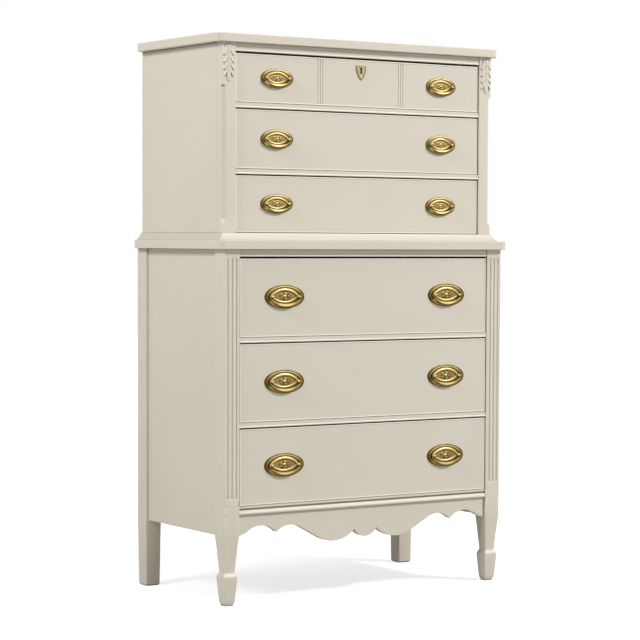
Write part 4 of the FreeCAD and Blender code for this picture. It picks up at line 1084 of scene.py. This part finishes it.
PULLS = {
    "upper": dict(half_width=47 * MM, half_height=24 * MM, darkness_scale=0.6, stud=32 * MM,
                  drop=21.5 * MM, swell=9 * MM),
    "lower": dict(half_width=57.5 * MM, half_height=29 * MM, darkness_scale=0.85, stud=38 * MM,
                  drop=26.5 * MM, swell=11 * MM),
}
plates = {kind: pull_plate(f"{kind}_plate", pull["half_width"], pull["half_height"], pull["darkness_scale"])
          for kind, pull in PULLS.items()}
print("plate", len(plates["upper"].data.polygons), "faces")

# %% [markdown]
# Two studs pass through each plate and the drawer front, and a nut holds each from the inside.
# Turned pieces come from a lathe, so their shape is a list of radii and distances along the
# axis. The head is a small ball on a waisted neck with a collar at the plate.

# %% Studs and nuts
PIVOT_STANDOFF = 7 * MM
STUD_HEAD_RADIUS = 4.2 * MM
STUD_PROFILE = ((-27.0, 1.9), (-26.4, 2.0), (1.2, 2.0), (1.3, 3.9), (2.0, 4.2), (2.6, 3.9), (3.0, 3.0),
                (3.4, 2.6), (3.8, 2.9), (4.6, 3.7), (5.6, 4.12), (7.0, 4.2), (8.4, 3.96), (9.6, 3.3),
                (10.5, 2.3), (11.0, 1.2), (11.2, 0.3))
LATHE_POINTS = 28
NUT_RADIUS, NUT_THICKNESS, NUT_PLACE, NUT_ARRIS = 4.4 * MM, 3 * MM, 20 * MM, 0.4 * MM


def turned(name, profile, darkness=0.0):
    """A piece turned about the line that runs forward through the origin."""
    rings = []
    for out, radius in profile:
        rings.append([Vector((radius * MM * math.cos(turn), -out * MM, radius * MM * math.sin(turn)))
                      for turn in circle(LATHE_POINTS)])
    return loft(name, rings, smooth_degrees=50, patina=[darkness] * len(rings) * LATHE_POINTS)


def hexagon_nut(name, radius, thickness, distance):
    """A nut with chamfered corners, behind the drawer front."""
    section = [(radius * math.cos(math.radians(60 * side)), radius * math.sin(math.radians(60 * side)))
               for side in range(6)]
    return prism(name, "y", section, distance, distance + thickness, radius=NUT_ARRIS)


stud = turned("stud", STUD_PROFILE)
nut = hexagon_nut("nut", NUT_RADIUS, NUT_THICKNESS, NUT_PLACE)
print("stud and nut", len(stud.data.polygons), len(nut.data.polygons), "faces")

# %% [markdown]
# A bail is a crescent of brass, thick in the middle and thin at the ends, whose ends turn in to
# the studs. Its inner and outer edges are two arcs, as in the frame. At each place along it a
# section spans the two edges, and the sections are lofted. The section isn't a plain oval: it is
# thin at the inner edge and swells towards the outer one, so that its front leans up to the light.

# %% Bails
BAIL_ARM_DROP = 4.5 * MM
BAIL_END_WIDTH = 4.4 * MM
BAIL_CLEARANCE = 0.3 * MM
BAIL_DEPTH = 5 * MM
BAIL_STEPS, BAIL_POINTS = 40, 32
BAIL_ENDS_SHARE, BAIL_BELLY_SHARE, BAIL_THIN_SHARE = 0.72, 0.28, 0.5
# The dark edges and the darker inner side are painted shade along the gaps, and the duller ends are painted
# shade that keeps the highlight in the middle.
BAIL_PATINA, BAIL_EDGE_SHADE, BAIL_BACK_PATINA = 0.12, 0.95, 0.6
BAIL_END_SHADE, BAIL_INNER_SHADE = 0.45, 0.3
# Where each of these starts to grow and over what run: the swell, and the edges and the ends darkened as
# painted shade.
SWELL_SPAN, EDGE_SPAN, END_SPAN = (-0.4, 0.9), (0.6, 0.35), (0.25, 0.6)
# How high each section of a bail's round end lies, and how wide it is, as shares of its half width.
BAIL_HEAD_SHARES = ((1, 0.55), (0.75, 0.85), (0.3, 1.0), (-0.6, 1.0))
PIN_RADIUS, PIN_POINTS = 1.45 * MM, 14
PIN_PAST_BAIL, PIN_IN_STUD = 1 * MM, 3 * MM


def bail_edges(pull):
    """Matching points along the outer and the inner edge, from the left end to the right."""
    inner = pull["stud"] + STUD_HEAD_RADIUS + BAIL_CLEARANCE
    outer = inner + BAIL_END_WIDTH
    head = BAIL_END_WIDTH / 2
    arcs = [arc_through((-half, -BAIL_ARM_DROP), (0, low), (half, -BAIL_ARM_DROP), BAIL_STEPS)
            for half, low in ((outer, -pull["drop"]), (inner, pull["swell"] - pull["drop"]))]
    end = -(inner + outer) / 2
    left = [((end - head * wide, head * up), (end + head * wide, head * up)) for up, wide in BAIL_HEAD_SHARES]
    right = [((-a[0], a[1]), (-b[0], b[1])) for a, b in reversed(left)]
    return left + list(zip(*arcs)) + right


def bail_piece(name, pull):
    """One bail about the middle of its plate, hanging down."""
    rings, patina = [], []
    edges = bail_edges(pull)
    for here, (outer, inner) in enumerate(edges):
        share = here / (len(edges) - 1)
        depth = BAIL_DEPTH / 2 * (BAIL_ENDS_SHARE + BAIL_BELLY_SHARE * math.sin(math.pi * share))
        a, b = Vector(outer), Vector(inner)
        middle, reach = (a + b) / 2, (a - b) / 2
        ring = []
        for turn in circle(BAIL_POINTS):
            place = middle + reach * math.cos(turn)
            swell = BAIL_THIN_SHARE + (1 - BAIL_THIN_SHARE) * rising(math.cos(turn), *SWELL_SPAN)
            ring.append(Vector((place.x, -PIVOT_STANDOFF - depth * math.sin(turn) * swell, place.y)))
            edge = BAIL_EDGE_SHADE * rising(abs(math.cos(turn)), *EDGE_SPAN)
            near_end = rising(abs(place.x) / pull["stud"], *END_SPAN)
            dull = BAIL_END_SHADE * near_end + BAIL_INNER_SHADE * smooth_share(-math.cos(turn))
            patina.append(edge + dull + BAIL_PATINA if turn < math.pi else BAIL_BACK_PATINA)
        rings.append(ring)
    return loft(name, rings, smooth_degrees=60, patina=patina)


def pin_pieces(name, pull):
    """The two pins on which a bail swings, joined into one mesh."""
    inner = pull["stud"] + STUD_HEAD_RADIUS + BAIL_CLEARANCE
    rings = []
    for side in (-1, 1):
        for x in (inner + PIN_PAST_BAIL, pull["stud"] - PIN_IN_STUD):
            rings.append([Vector((side * x, -PIVOT_STANDOFF + PIN_RADIUS * math.cos(turn),
                                  PIN_RADIUS * math.sin(turn))) for turn in circle(PIN_POINTS)])
    faces = []
    for base in (0, 2 * PIN_POINTS):
        above = base + PIN_POINTS
        faces += band(base, above, PIN_POINTS)
        faces += [tuple(range(base, above)), tuple(range(above, above + PIN_POINTS))]
    return new_piece(name, [point for ring in rings for point in ring], faces)


bails = {kind: bail_piece(f"{kind}_bail", pull) for kind, pull in PULLS.items()}
pins = {kind: pin_pieces(f"{kind}_pins", pull) for kind, pull in PULLS.items()}
print("bail", len(bails["upper"].data.polygons), "faces")

# %% [markdown]
# The twelve pulls are copies. A copy that shares its mesh costs almost nothing, and a change to
# the first one changes them all. Plates, studs and nuts ride on the drawer, and a bail on its own
# body, so that it swings.

# %% Hanging the pulls
UPPER_DRAWERS = (1, 2, 3)


def copy_of(original, name, place):
    """An object that shares the mesh of another, at its own place."""
    twin = bpy.data.objects.new(name, original.data)
    twin.location = place
    bpy.context.collection.objects.link(twin)
    for modifier in original.modifiers:
        bevel = twin.modifiers.new(modifier.name, modifier.type)
        bevel.width, bevel.segments = modifier.width, modifier.segments
        bevel.limit_method, bevel.angle_limit = modifier.limit_method, modifier.angle_limit
    return twin


def seat(piece, body, *nodes):
    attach(piece, body)
    if nodes:
        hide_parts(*nodes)


originals = (*plates.values(), *bails.values(), *pins.values(), stud, nut)
for original in originals:
    original.data.materials.append(BRASS)

for number in DRAWERS:
    kind = "upper" if number in UPPER_DRAWERS else "lower"
    pull = PULLS[kind]
    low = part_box(f"drawer_{number}_front")[0]
    for hand in ("left", "right"):
        swing_low, swing_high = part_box(f"drawer_{number}_bail_{hand}")
        pull_height = swing_high.z - BAIL_END_WIDTH / 2
        middle = Vector(((swing_low.x + swing_high.x) / 2, low.y + BEAD_RISE, pull_height))
        label = f"drawer_{number}_{hand}"
        seat(copy_of(plates[kind], f"{label}_plate", middle), f"drawer_{number}",
             f"drawer_{number}_pull_plates")
        for end, reach in (("outer", 1), ("inner", -1)):
            across = Vector((hand_side(hand) * reach * pull["stud"], 0, 0))
            seat(copy_of(stud, f"{label}_{end}_stud", middle + across), f"drawer_{number}")
            seat(copy_of(nut, f"{label}_{end}_nut", middle + across), f"drawer_{number}")
        seat(copy_of(bails[kind], f"{label}_bail", middle), f"bail_{number}_{hand}",
             f"drawer_{number}_bail_{hand}")
        seat(copy_of(pins[kind], f"{label}_pins", middle), f"bail_{number}_{hand}")
for original in originals:
    bpy.data.objects.remove(original)
print("pulls hung at", round(pull_height * 1000, 1), "mm on the lowest drawer")

# %% [markdown]
# The keyhole plate is a small shield of cast brass. Seen from the keyhole, its edge is at some
# distance in every direction, so each loop is given by that distance. Loops run from the back
# edge over a bevel, across the face with one cut line, and down into the keyhole.

# %% Keyhole plate
SHIELD_MIDDLE_DROP, SHIELD_PIN_OUT, SHIELD_PIN_DROP = 5 * MM, 1.0 * MM, 2.0 * MM
SHIELD_MIDDLE = KEYHOLE_HEIGHT - SHIELD_MIDDLE_DROP
SHIELD_HALF, FLANK_SHARES, DIP_SHARE = 15.5 * MM, (0.8, 0.52), 0.015
FLANK_STEPS, DIP_STEPS, SHIELD_TURNS = 24, 16, 96
shield_top, shield_tip = plate_high.z, plate_low.z
shield_drop = shield_top - shield_tip
corner, left_corner = (SHIELD_HALF, shield_top), (-SHIELD_HALF, shield_top)
flank = (SHIELD_HALF * FLANK_SHARES[0], shield_top - shield_drop * FLANK_SHARES[1])
dip = (0, shield_top - shield_drop * DIP_SHARE)
SHIELD = (arc_through(corner, flank, (0, shield_tip), FLANK_STEPS)
          + arc_through((0, shield_tip), (-flank[0], flank[1]), left_corner, FLANK_STEPS)[1:]
          + arc_through(left_corner, dip, corner, DIP_STEPS)[1:-1])


def reach_to(outline, turn):
    """How far an outline lies from the shield's middle in one direction."""
    heading = Vector((math.cos(turn), math.sin(turn)))
    found = 0.0
    for here, a in enumerate(outline):
        b = outline[(here + 1) % len(outline)]
        ax, ay, bx, by = a[0], a[1] - SHIELD_MIDDLE, b[0], b[1] - SHIELD_MIDDLE
        side_x, side_y = bx - ax, by - ay
        cross = heading.x * side_y - heading.y * side_x
        if abs(cross) < 1e-12:
            continue
        share = (ax * heading.y - ay * heading.x) / cross
        reach = (ax * side_y - ay * side_x) / cross
        if -1e-6 <= share <= 1 + 1e-6 and reach > found:
            found = reach
    return found


corner_turns = [math.atan2(z - SHIELD_MIDDLE, x) for x, z in (corner, left_corner)] + [-math.pi / 2]
turns = sorted(set([turn - math.pi for turn in circle(SHIELD_TURNS)] + corner_turns))
outer_reach = [reach_to(SHIELD, turn) for turn in turns]
inner_reach = [reach_to(keyhole_outline(), turn) for turn in turns]


def shield_loop(reaches, less, lift):
    y = field_y - lift * MM
    return [Vector((math.cos(t) * (r - less * MM), y, SHIELD_MIDDLE + math.sin(t) * (r - less * MM)))
            for t, r in zip(turns, reaches)]


# For each loop: its outline, how far inside it and how far out it lies in millimetres, and its patina.
SHIELD_LOOPS = (
    (inner_reach, 0, 0, 0.8), (outer_reach, 0, 0, 0.3), (outer_reach, 0, 0.9, 0.5),
    (outer_reach, 0.35, 1.35, 0.5), (outer_reach, 1.0, 1.6, 0.5), (outer_reach, 1.9, 1.6, 0.6),
    (outer_reach, 2.2, 1.25, 0.7), (outer_reach, 2.7, 1.25, 0.4), (outer_reach, 3.1, 1.5, 0.1),
    (inner_reach, -0.7, 1.6, 0), (inner_reach, -0.15, 1.45, 0.2), (inner_reach, 0, 1.1, 0.8),
)
shield = loft("keyhole_shield", [shield_loop(*row[:3]) for row in SHIELD_LOOPS], caps=False, loop=True,
              smooth_degrees=30, patina=[row[3] for row in SHIELD_LOOPS for turn in turns])
fit(shield, SHIELD_BRASS, "drawer_1", "brass", "keyhole_escutcheon")
PIN_PROFILE = ((0.2, 1.0), (1.1, 1.0), (1.6, 0.85), (1.9, 0.55), (2.0, 0.1))
pin_head = turned("shield_pin", PIN_PROFILE, darkness=1.0)
pin_head.location = (0, field_y - SHIELD_PIN_OUT, shield_top - SHIELD_PIN_DROP)
fit(pin_head, SHIELD_BRASS, "drawer_1", "brass")
print("shield", len(shield.data.polygons), "faces")

# %% [markdown]
# The leaves on the posts are carved in low relief. Four tiers lie over each other like shingles:
# each starts low under the one above, swells, and ends in a raised lower edge that climbs to the
# stem. At the outer end of each edge the carver turned a small curl and drilled a pit under it.
# Here a fine grid of points does the same. Of tiers, curls and the drop at the foot the highest
# wins at each point, the stem is added, and the pits are taken away. Points that nothing reaches
# are left out, so that the post's own face is the ground.

# %% Carved leaves
LEAF_STEP = 0.4 * MM
LEAF_HALF, LEAF_HEIGHT = 17.5 * MM, 90 * MM
LEAF_CORNER_OFFSET = 16 * MM
# For each tier, how far down its outer end lies, and how far from the middle its pit is.
LEAF_TIERS = ((26 * MM, 13.4 * MM), (44 * MM, 13.4 * MM), (61 * MM, 13.4 * MM), (77 * MM, 11.6 * MM))
FIRST_EDGE = 8 * MM
EDGE_CLIMB, CLIMB_START, CLIMB_RUN = 11 * MM, 4 * MM, 10 * MM
TIER_LOW, TIER_RISE, TIER_SWELL, TIER_SCOOP = 1.9 * MM, 1.1 * MM, 0.8 * MM, 0.4 * MM
TIER_MIDDLE = 2.4 * MM
PIT_MARGIN, TIER_FLARE = 3.2 * MM, 5 * MM
CURL_RADIUS, CURL_HEIGHT, CURL_RISE = 3.1 * MM, 4.0 * MM, 3.4 * MM
PIT_RADIUS, PIT_DEPTH = 1.6 * MM, 1.4 * MM
CREASE_SHARE, CREASE_SHADE = 0.16, 0.3
STEM_TOP_HALF, STEM_FOOT_HALF, STEM_RISE = 3.4 * MM, 2.4 * MM, 1.5 * MM
DROP_PLACE, DROP_HALF, DROP_TALL, DROP_HEIGHT = 74 * MM, 7.5 * MM, 16 * MM, 4.0 * MM
STEM_SPREAD_SHARE = 1.4
FLARE_POWER, RISE_POWER, EDGE_POWER = 0.8, 1.4, 6
SCOOP_MIDDLE_SHARE, SCOOP_RUN_SHARE = 0.45, 0.18
CURL_OUT, PIT_DROP, RELIEF_LEAST = 0.5 * MM, 1 * MM, 0.3 * MM
FACE_SINK, LEAF_THICKNESS, ROWS_ABOVE = 0.25 * MM, 0.6 * MM, 6


def tier_edge(level, across):
    """How far down a tier's lower edge lies, at a distance from the stem."""
    return level - EDGE_CLIMB * (1 - rising(across, CLIMB_START, CLIMB_RUN))


def tier_at(across, down):
    """How far down its tier a point lies, from 0 to 1, and the place of the tier's pit."""
    above = FIRST_EDGE
    for level, pit in LEAF_TIERS:
        top, foot = tier_edge(above, across), tier_edge(level, across)
        above = level
        if top <= down < foot:
            return (down - top) / (foot - top), pit
    return None


def tier_height(across, down):
    """The height of the tier that a point lies on."""
    tier = tier_at(across, down)
    if not tier:
        return 0.0
    share, pit = tier
    half = pit + PIT_MARGIN - TIER_FLARE * (1 - share ** FLARE_POWER)
    if across >= half:
        return 0.0
    swell = TIER_SWELL * math.sin(math.pi * min(max((across - CLIMB_START) / (half - CLIMB_START), 0), 1))
    scoop = TIER_SCOOP * math.exp(-((share - SCOOP_MIDDLE_SHARE) / SCOOP_RUN_SHARE) ** 2)
    outer = TIER_LOW + TIER_RISE * share ** RISE_POWER + swell - scoop
    beside = rising(across, STEM_FOOT_HALF, CLIMB_START)
    return (TIER_MIDDLE + (outer - TIER_MIDDLE) * beside) * math.sqrt(1 - (across / half) ** EDGE_POWER)


def tier_shade(across, down):
    """Painted shade in the crease just under the edge of the tier above, none beside the stem."""
    tier = tier_at(across, down)
    crease = max(0, 1 - tier[0] / CREASE_SHARE) if tier else 0.0
    return -CREASE_SHADE * crease * rising(across, STEM_FOOT_HALF, CLIMB_START)


def dome(across, down, centre_across, centre_down, radius, height):
    """A round bump, or a pit, that fades out at its radius."""
    room = 1 - ((across - centre_across) ** 2 + (down - centre_down) ** 2) / radius ** 2
    return height * math.sqrt(room) if room > 0 else 0.0


def stem_rise(across, down):
    """A rounded stem that runs down the middle of the tiers and grows thinner."""
    half = STEM_TOP_HALF + (STEM_FOOT_HALF - STEM_TOP_HALF) * down / LEAF_HEIGHT
    reach = half * STEM_SPREAD_SHARE
    return STEM_RISE * math.cos(math.pi / 2 * across / reach) ** 2 if across < reach else 0.0


def leaf_height_at(point):
    across, down = abs(point.x), -point.y
    if down < 0 or down > LEAF_HEIGHT:
        return 0.0
    height = tier_height(across, down)
    for level, pit in LEAF_TIERS:
        height = max(height, dome(across, down, pit + CURL_OUT, level - CURL_RISE, CURL_RADIUS, CURL_HEIGHT))
    if height > 0:
        height += stem_rise(across, down)
        for level, pit in LEAF_TIERS:
            height -= dome(across, down, pit, level + PIT_DROP, PIT_RADIUS, PIT_DEPTH)
        height = max(height, RELIEF_LEAST)
    room = 1 - (across / DROP_HALF) ** 2 - ((down - DROP_PLACE) / DROP_TALL) ** 2
    return max(height, DROP_HEIGHT * math.sqrt(room)) if room > 0 else height


def carved_leaf(name, middle_x, face_y, top_z):
    """The relief as a skin whose rim dips just under the post's face, closed behind."""
    columns = round(LEAF_HALF / LEAF_STEP)
    rows = round(LEAF_HEIGHT / LEAF_STEP)
    places, relief = {}, {}
    for row in range(-ROWS_ABOVE, rows + 1):
        for column in range(-columns, columns + 1):
            point = Vector((column * LEAF_STEP, -row * LEAF_STEP))
            places[column, row], relief[column, row] = point, leaf_height_at(point)
    numbers, points, faces, wear = {}, [], [], []
    for column, row in places:
        corners = [(column, row), (column + 1, row), (column + 1, row + 1), (column, row + 1)]
        if corners[2] not in places or max(relief[key] for key in corners) <= 0:
            continue
        for key in corners:
            if key not in numbers:
                numbers[key] = len(points)
                point = places[key]
                points.append((middle_x + point.x, face_y + FACE_SINK - relief[key], top_z + point.y))
                wear.append(tier_shade(abs(point.x), -point.y))
        faces.append(tuple(numbers[key] for key in corners))
    leaf = new_piece(name, points, faces, smooth_degrees=70, wear=wear)
    back = leaf.modifiers.new("back", "SOLIDIFY")
    back.thickness, back.offset = LEAF_THICKNESS, -1
    return leaf


low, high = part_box("leaf_carvings")
leaf_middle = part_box("upper_post_right")[1].x - LEAF_CORNER_OFFSET
for hand in ("left", "right"):
    leaf = carved_leaf(f"carved_leaf_{hand}", hand_side(hand) * leaf_middle, high.y, high.z)
    fit(leaf, PAINTS["z"], "carcass", "paint", "leaf_carvings")
print("leaf", len(leaf.data.polygons), "faces")

# %% [markdown]
# Some pieces keep their solids from the frame, because their shapes are right already: the side
# boards, the runners, the drawer boxes and their bottoms, and the lock with its bolt. A weld joins
# the split corners of the imported mesh, a small bevel breaks the arrises, and each gets its finish.

# %% Finishes for the pieces that stay
WELD_REACH = 0.01 * MM


def dress(name, finish, arris):
    """Finishes a plain solid of the frame and breaks its edges, without touching its mesh."""
    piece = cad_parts[name]
    piece.data.materials.clear()
    piece.data.materials.append(finish)
    weld = piece.modifiers.new("weld", "WELD")
    weld.merge_threshold = WELD_REACH
    soften(piece, arris, segments=2, degrees=50)


for hand in ("left", "right"):
    dress(f"upper_side_{hand}", PAINTS["z"], 2.0 * MM)
    dress(f"lower_side_{hand}", PAINTS["z"], 0.8 * MM)
for name in ("upper_runners", "lower_runners"):
    dress(name, DRAWER_WOOD["y"], 0.8 * MM)
for number in DRAWERS:
    dress(f"drawer_{number}_box", DRAWER_WOOD["y"], 1.0 * MM)
    dress(f"drawer_{number}_bottom", PANEL_WOOD, 0.4 * MM)
for name in ("lock_body", "lock_bolt"):
    dress(name, IRON, 0.5 * MM)
print("dressed", len([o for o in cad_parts.values() if not o.hide_render]), "solids")

# %% [markdown]
# Drawer sides are joined to the front by dovetails. On the sides they show as fan-shaped ends of
# darker end grain. Thin inlays, a fifth of a millimetre proud, mark them at both ends.

# %% Dovetails on the drawer sides
TAIL_PITCH = 26 * MM
TAIL_START, TAIL_END = 0.3 * MM, 12 * MM
TAIL_MARGIN, TAIL_SPARE, FEWEST_TAILS = 6 * MM, 14 * MM, 3
TAIL_NARROW_SHARE, TAIL_WIDE_SHARE = 0.11, 0.20
INLAY = 0.2 * MM


def dovetails(number):
    """Fan-shaped inlays on both sides of one drawer, front and back, as one mesh."""
    low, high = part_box(f"drawer_{number}_box")
    count = max(round((high.z - low.z - TAIL_SPARE) / TAIL_PITCH), FEWEST_TAILS)
    pitch = (high.z - low.z - 2 * TAIL_MARGIN) / count
    narrow, wide = pitch * TAIL_NARROW_SHARE, pitch * TAIL_WIDE_SHARE
    points, faces = [], []
    for side, x in ((-1, low.x), (1, high.x)):
        for start, way in ((low.y, 1), (high.y, -1)):
            for tail in range(count):
                middle = low.z + TAIL_MARGIN + pitch * (tail + 0.5)
                near, far = start + way * TAIL_START, start + way * TAIL_END
                corners = [(near, middle - narrow), (far, middle - wide), (far, middle + wide),
                           (near, middle + narrow)]
                base = len(points)
                points += [(x + side * out, y, z) for out in (-INLAY, INLAY) for y, z in corners]
                faces += [tuple(range(base, base + 4)), tuple(range(base + 4, base + 8))]
                faces += band(base, base + 4, 4)
    return new_piece(f"drawer_{number}_dovetails", points, faces)


for number in DRAWERS:
    fit(dovetails(number), END_GRAIN, f"drawer_{number}", "drawer_wood")
print("dovetails on", len(DRAWERS), "drawers")

# %% [markdown]
# The back panels are plywood, nailed into their rebates. Each sheet is set in a little, so that
# the domed nail heads stay inside the depth of the chest. One mesh holds all the heads of a panel.

# %% Back panels and their nails
NAIL_RADIUS, NAIL_PITCH, NAIL_INSET = 2.4 * MM, 95 * MM, 4.2 * MM
SHEET_INSET = 0.7 * MM
NAIL_RINGS = ((1.0, -0.3), (1.0, 0.1), (0.8, 0.4), (0.45, 0.58), (0.15, 0.62))
NAIL_POINTS = 12
SHEET_ARRIS = 0.4 * MM


def spaced(start, end, pitch):
    count = max(round((end - start) / pitch), 1)
    return [start + (end - start) * step / count for step in range(count + 1)]


def nail_heads(name, low, high, sheet_back):
    """Domed heads along the four edges of a sheet."""
    left, right = low.x + NAIL_INSET, high.x - NAIL_INSET
    bottom, top = low.z + NAIL_INSET * 2, high.z - NAIL_INSET * 2
    places = [(x, z) for x in spaced(left, right, NAIL_PITCH) for z in (bottom, top)]
    places += [(x, z) for z in spaced(bottom, top, NAIL_PITCH)[1:-1] for x in (left, right)]
    points, faces = [], []
    for x, z in places:
        base = len(points)
        for share, out in NAIL_RINGS:
            for turn in circle(NAIL_POINTS):
                points.append((x + NAIL_RADIUS * share * math.cos(turn), sheet_back + out * MM,
                               z + NAIL_RADIUS * share * math.sin(turn)))
        for level in range(len(NAIL_RINGS) - 1):
            ring = base + level * NAIL_POINTS
            faces += band(ring, ring + NAIL_POINTS, NAIL_POINTS)
        last = len(points) - NAIL_POINTS
        faces += [tuple(range(base, base + NAIL_POINTS)), tuple(range(last, len(points)))]
    return new_piece(name, points, faces)


for name in ("upper_back", "lower_back"):
    low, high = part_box(name)
    section, sheet_back = box_section(low.x, high.x, low.z, high.z), high.y - SHEET_INSET
    sheet = prism(f"{name}_sheet", "y", section, low.y, sheet_back, SHEET_ARRIS)
    fit(sheet, BACK_WOOD, "carcass", "panel_wood", name)
    fit(nail_heads(f"{name}_nails", low, high, sheet_back), IRON, "carcass", "lock_steel")
print("back sheets nailed")

# %% [markdown]
# The lock inside the top front is an iron box held by four domed screws. They are seen when the
# drawer is open.

# %% Lock screws
SCREW_PROFILE = ((-0.2, 2.6), (0.15, 2.6), (0.5, 2.2), (0.62, 1.2), (0.62, 0.2))
SCREW_ACROSS_SHARE, SCREW_UP_SHARE = 0.38, 0.32
backward = tuple((-out, radius) for out, radius in SCREW_PROFILE)
low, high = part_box("lock_body")
for across in (-1, 1):
    for up in (-1, 1):
        screw = turned(f"lock_screw_{across + 1}{up + 1}", backward)
        screw_height = (low.z + high.z) / 2 + up * (high.z - low.z) * SCREW_UP_SHARE
        screw.location = (across * (high.x - low.x) * SCREW_ACROSS_SHARE, high.y, screw_height)
        fit(screw, IRON, "drawer_1", "lock_steel")
print("lock screws in")

# %% [markdown]
# The stage is a pale floor and a pale world. Where the camera looks past the object it sees plain
# white, and so does the brass when it mirrors its surroundings. The floor still darkens where the
# object's shadow falls on it; far from the object, where the lamps are weak, it is lifted to
# white, as a studio's paper sweep is.

# %% Floor and world
FLOOR_HALF = 14.0
LIFT_START, LIFT_END = 0.8, 4.0
FLOOR_LIFT_NEAR, FLOOR_LIFT_FAR = 0.72, 0.9
FLOOR_DARK, FLOOR_PALE, WHITE = (0.44, 0.44, 0.44, 1), (0.48, 0.48, 0.48, 1), (1, 1, 1, 1)
FILL_STRENGTH = 0.3


def shown_only(tree):
    """1 for rays that look at the backdrop: straight, in a mirror or through glass."""
    path = add(tree, "LightPath")
    first = sums(tree, "MAXIMUM", path.outputs["Is Camera Ray"], path.outputs["Is Glossy Ray"])
    return sums(tree, "MAXIMUM", first, path.outputs["Is Transmission Ray"])


floor_data = bpy.data.meshes.new("floor")
floor_outline = box_section(-FLOOR_HALF, FLOOR_HALF, -FLOOR_HALF, FLOOR_HALF)
floor_data.from_pydata([(x, y, 0) for x, y in floor_outline], [], [(0, 1, 2, 3)])
floor = bpy.data.objects.new("floor", floor_data)
bpy.context.collection.objects.link(floor)
floor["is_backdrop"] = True
floor_finish, tree, shader = new_finish("floor", Roughness=0.9)
speckle_place = add(tree, "TexCoord").outputs["Object"]
speckle = mottle(tree, speckle_place, 3.0)
tree.links.new(blend_colours(tree, speckle, FLOOR_DARK, FLOOR_PALE), shader["Base Color"])
shader["Emission Color"].default_value = WHITE
distance = add(tree, "VectorMath", {0: speckle_place}, operation="LENGTH").outputs["Value"]
lift = ramp(tree, distance, LIFT_START, LIFT_END, To_Min=FLOOR_LIFT_NEAR, To_Max=FLOOR_LIFT_FAR)
tree.links.new(sums(tree, "MULTIPLY", shown_only(tree), lift), shader["Emission Strength"])
floor_data.materials.append(floor_finish)

world = bpy.data.worlds.new("studio")
world.use_nodes = True
bpy.context.scene.world = world
tree = world.node_tree
strength = ramp(tree, shown_only(tree), 0.0, 1.0, To_Min=FILL_STRENGTH, To_Max=1.0)
background = tree.nodes["Background"]
background.inputs["Color"].default_value = WHITE
tree.links.new(strength, background.inputs["Strength"])
print("stage set")

# %% [markdown]
# One large soft lamp stands high at the front right, as the shadows of the pulls show, and a
# weaker one fills in from the left so that the side is nearly as light as the front.

# %% Lamps
def lamp(name, place, aim, size, power):
    light = bpy.data.lights.new(name, "AREA")
    light.shape = "DISK"
    light.size = size
    light.energy = power
    holder = bpy.data.objects.new(name, light)
    holder.location = place
    holder.rotation_euler = (Vector(aim) - Vector(place)).to_track_quat("-Z", "Y").to_euler()
    bpy.context.collection.objects.link(holder)
    return holder


CHEST_MIDDLE = (0, 0, 0.75)
KEY_PLACE, KEY_SIZE, KEY_POWER = (4.3, -4.7, 5.9), 1.3, 538
FILL_PLACE, FILL_SIZE, FILL_POWER = (-3.8, -0.6, 3.2), 1.4, 110
lamp("key", KEY_PLACE, CHEST_MIDDLE, KEY_SIZE, KEY_POWER)
lamp("fill", FILL_PLACE, CHEST_MIDDLE, FILL_SIZE, FILL_POWER)
print("lamps lit")

# %% [markdown]
# The camera stands where the photographer stood: to the left, a little above the waist board, with
# a long lens. Its direction comes from the straight edges of the chest in the photograph.

# %% Camera
CAMERA_PLACE = Vector((-3.17993, -4.95309, 0.89957))
CAMERA_FORWARD = Vector((0.56107, 0.82602, -0.05382))
CAMERA_ROLL = math.radians(0.3)
FOCAL_LENGTH, SENSOR_WIDTH = 126.8, 36
SHIFT_SHARES = (-0.0936, 0.0647)
lens = bpy.data.cameras.new("camera")
lens.lens, lens.sensor_width = FOCAL_LENGTH, SENSOR_WIDTH
lens.shift_x, lens.shift_y = SHIFT_SHARES
camera = bpy.data.objects.new("camera", lens)
turn = CAMERA_FORWARD.to_track_quat("-Z", "Y").to_matrix().to_4x4()
camera.matrix_world = Matrix.Translation(CAMERA_PLACE) @ turn @ Matrix.Rotation(CAMERA_ROLL, 4, "Z")
bpy.context.collection.objects.link(camera)
bpy.context.scene.camera = camera
bpy.context.scene.view_settings.view_transform = "Standard"
print("camera at", [round(v, 2) for v in CAMERA_PLACE])

# %% Sizes
low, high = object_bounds()
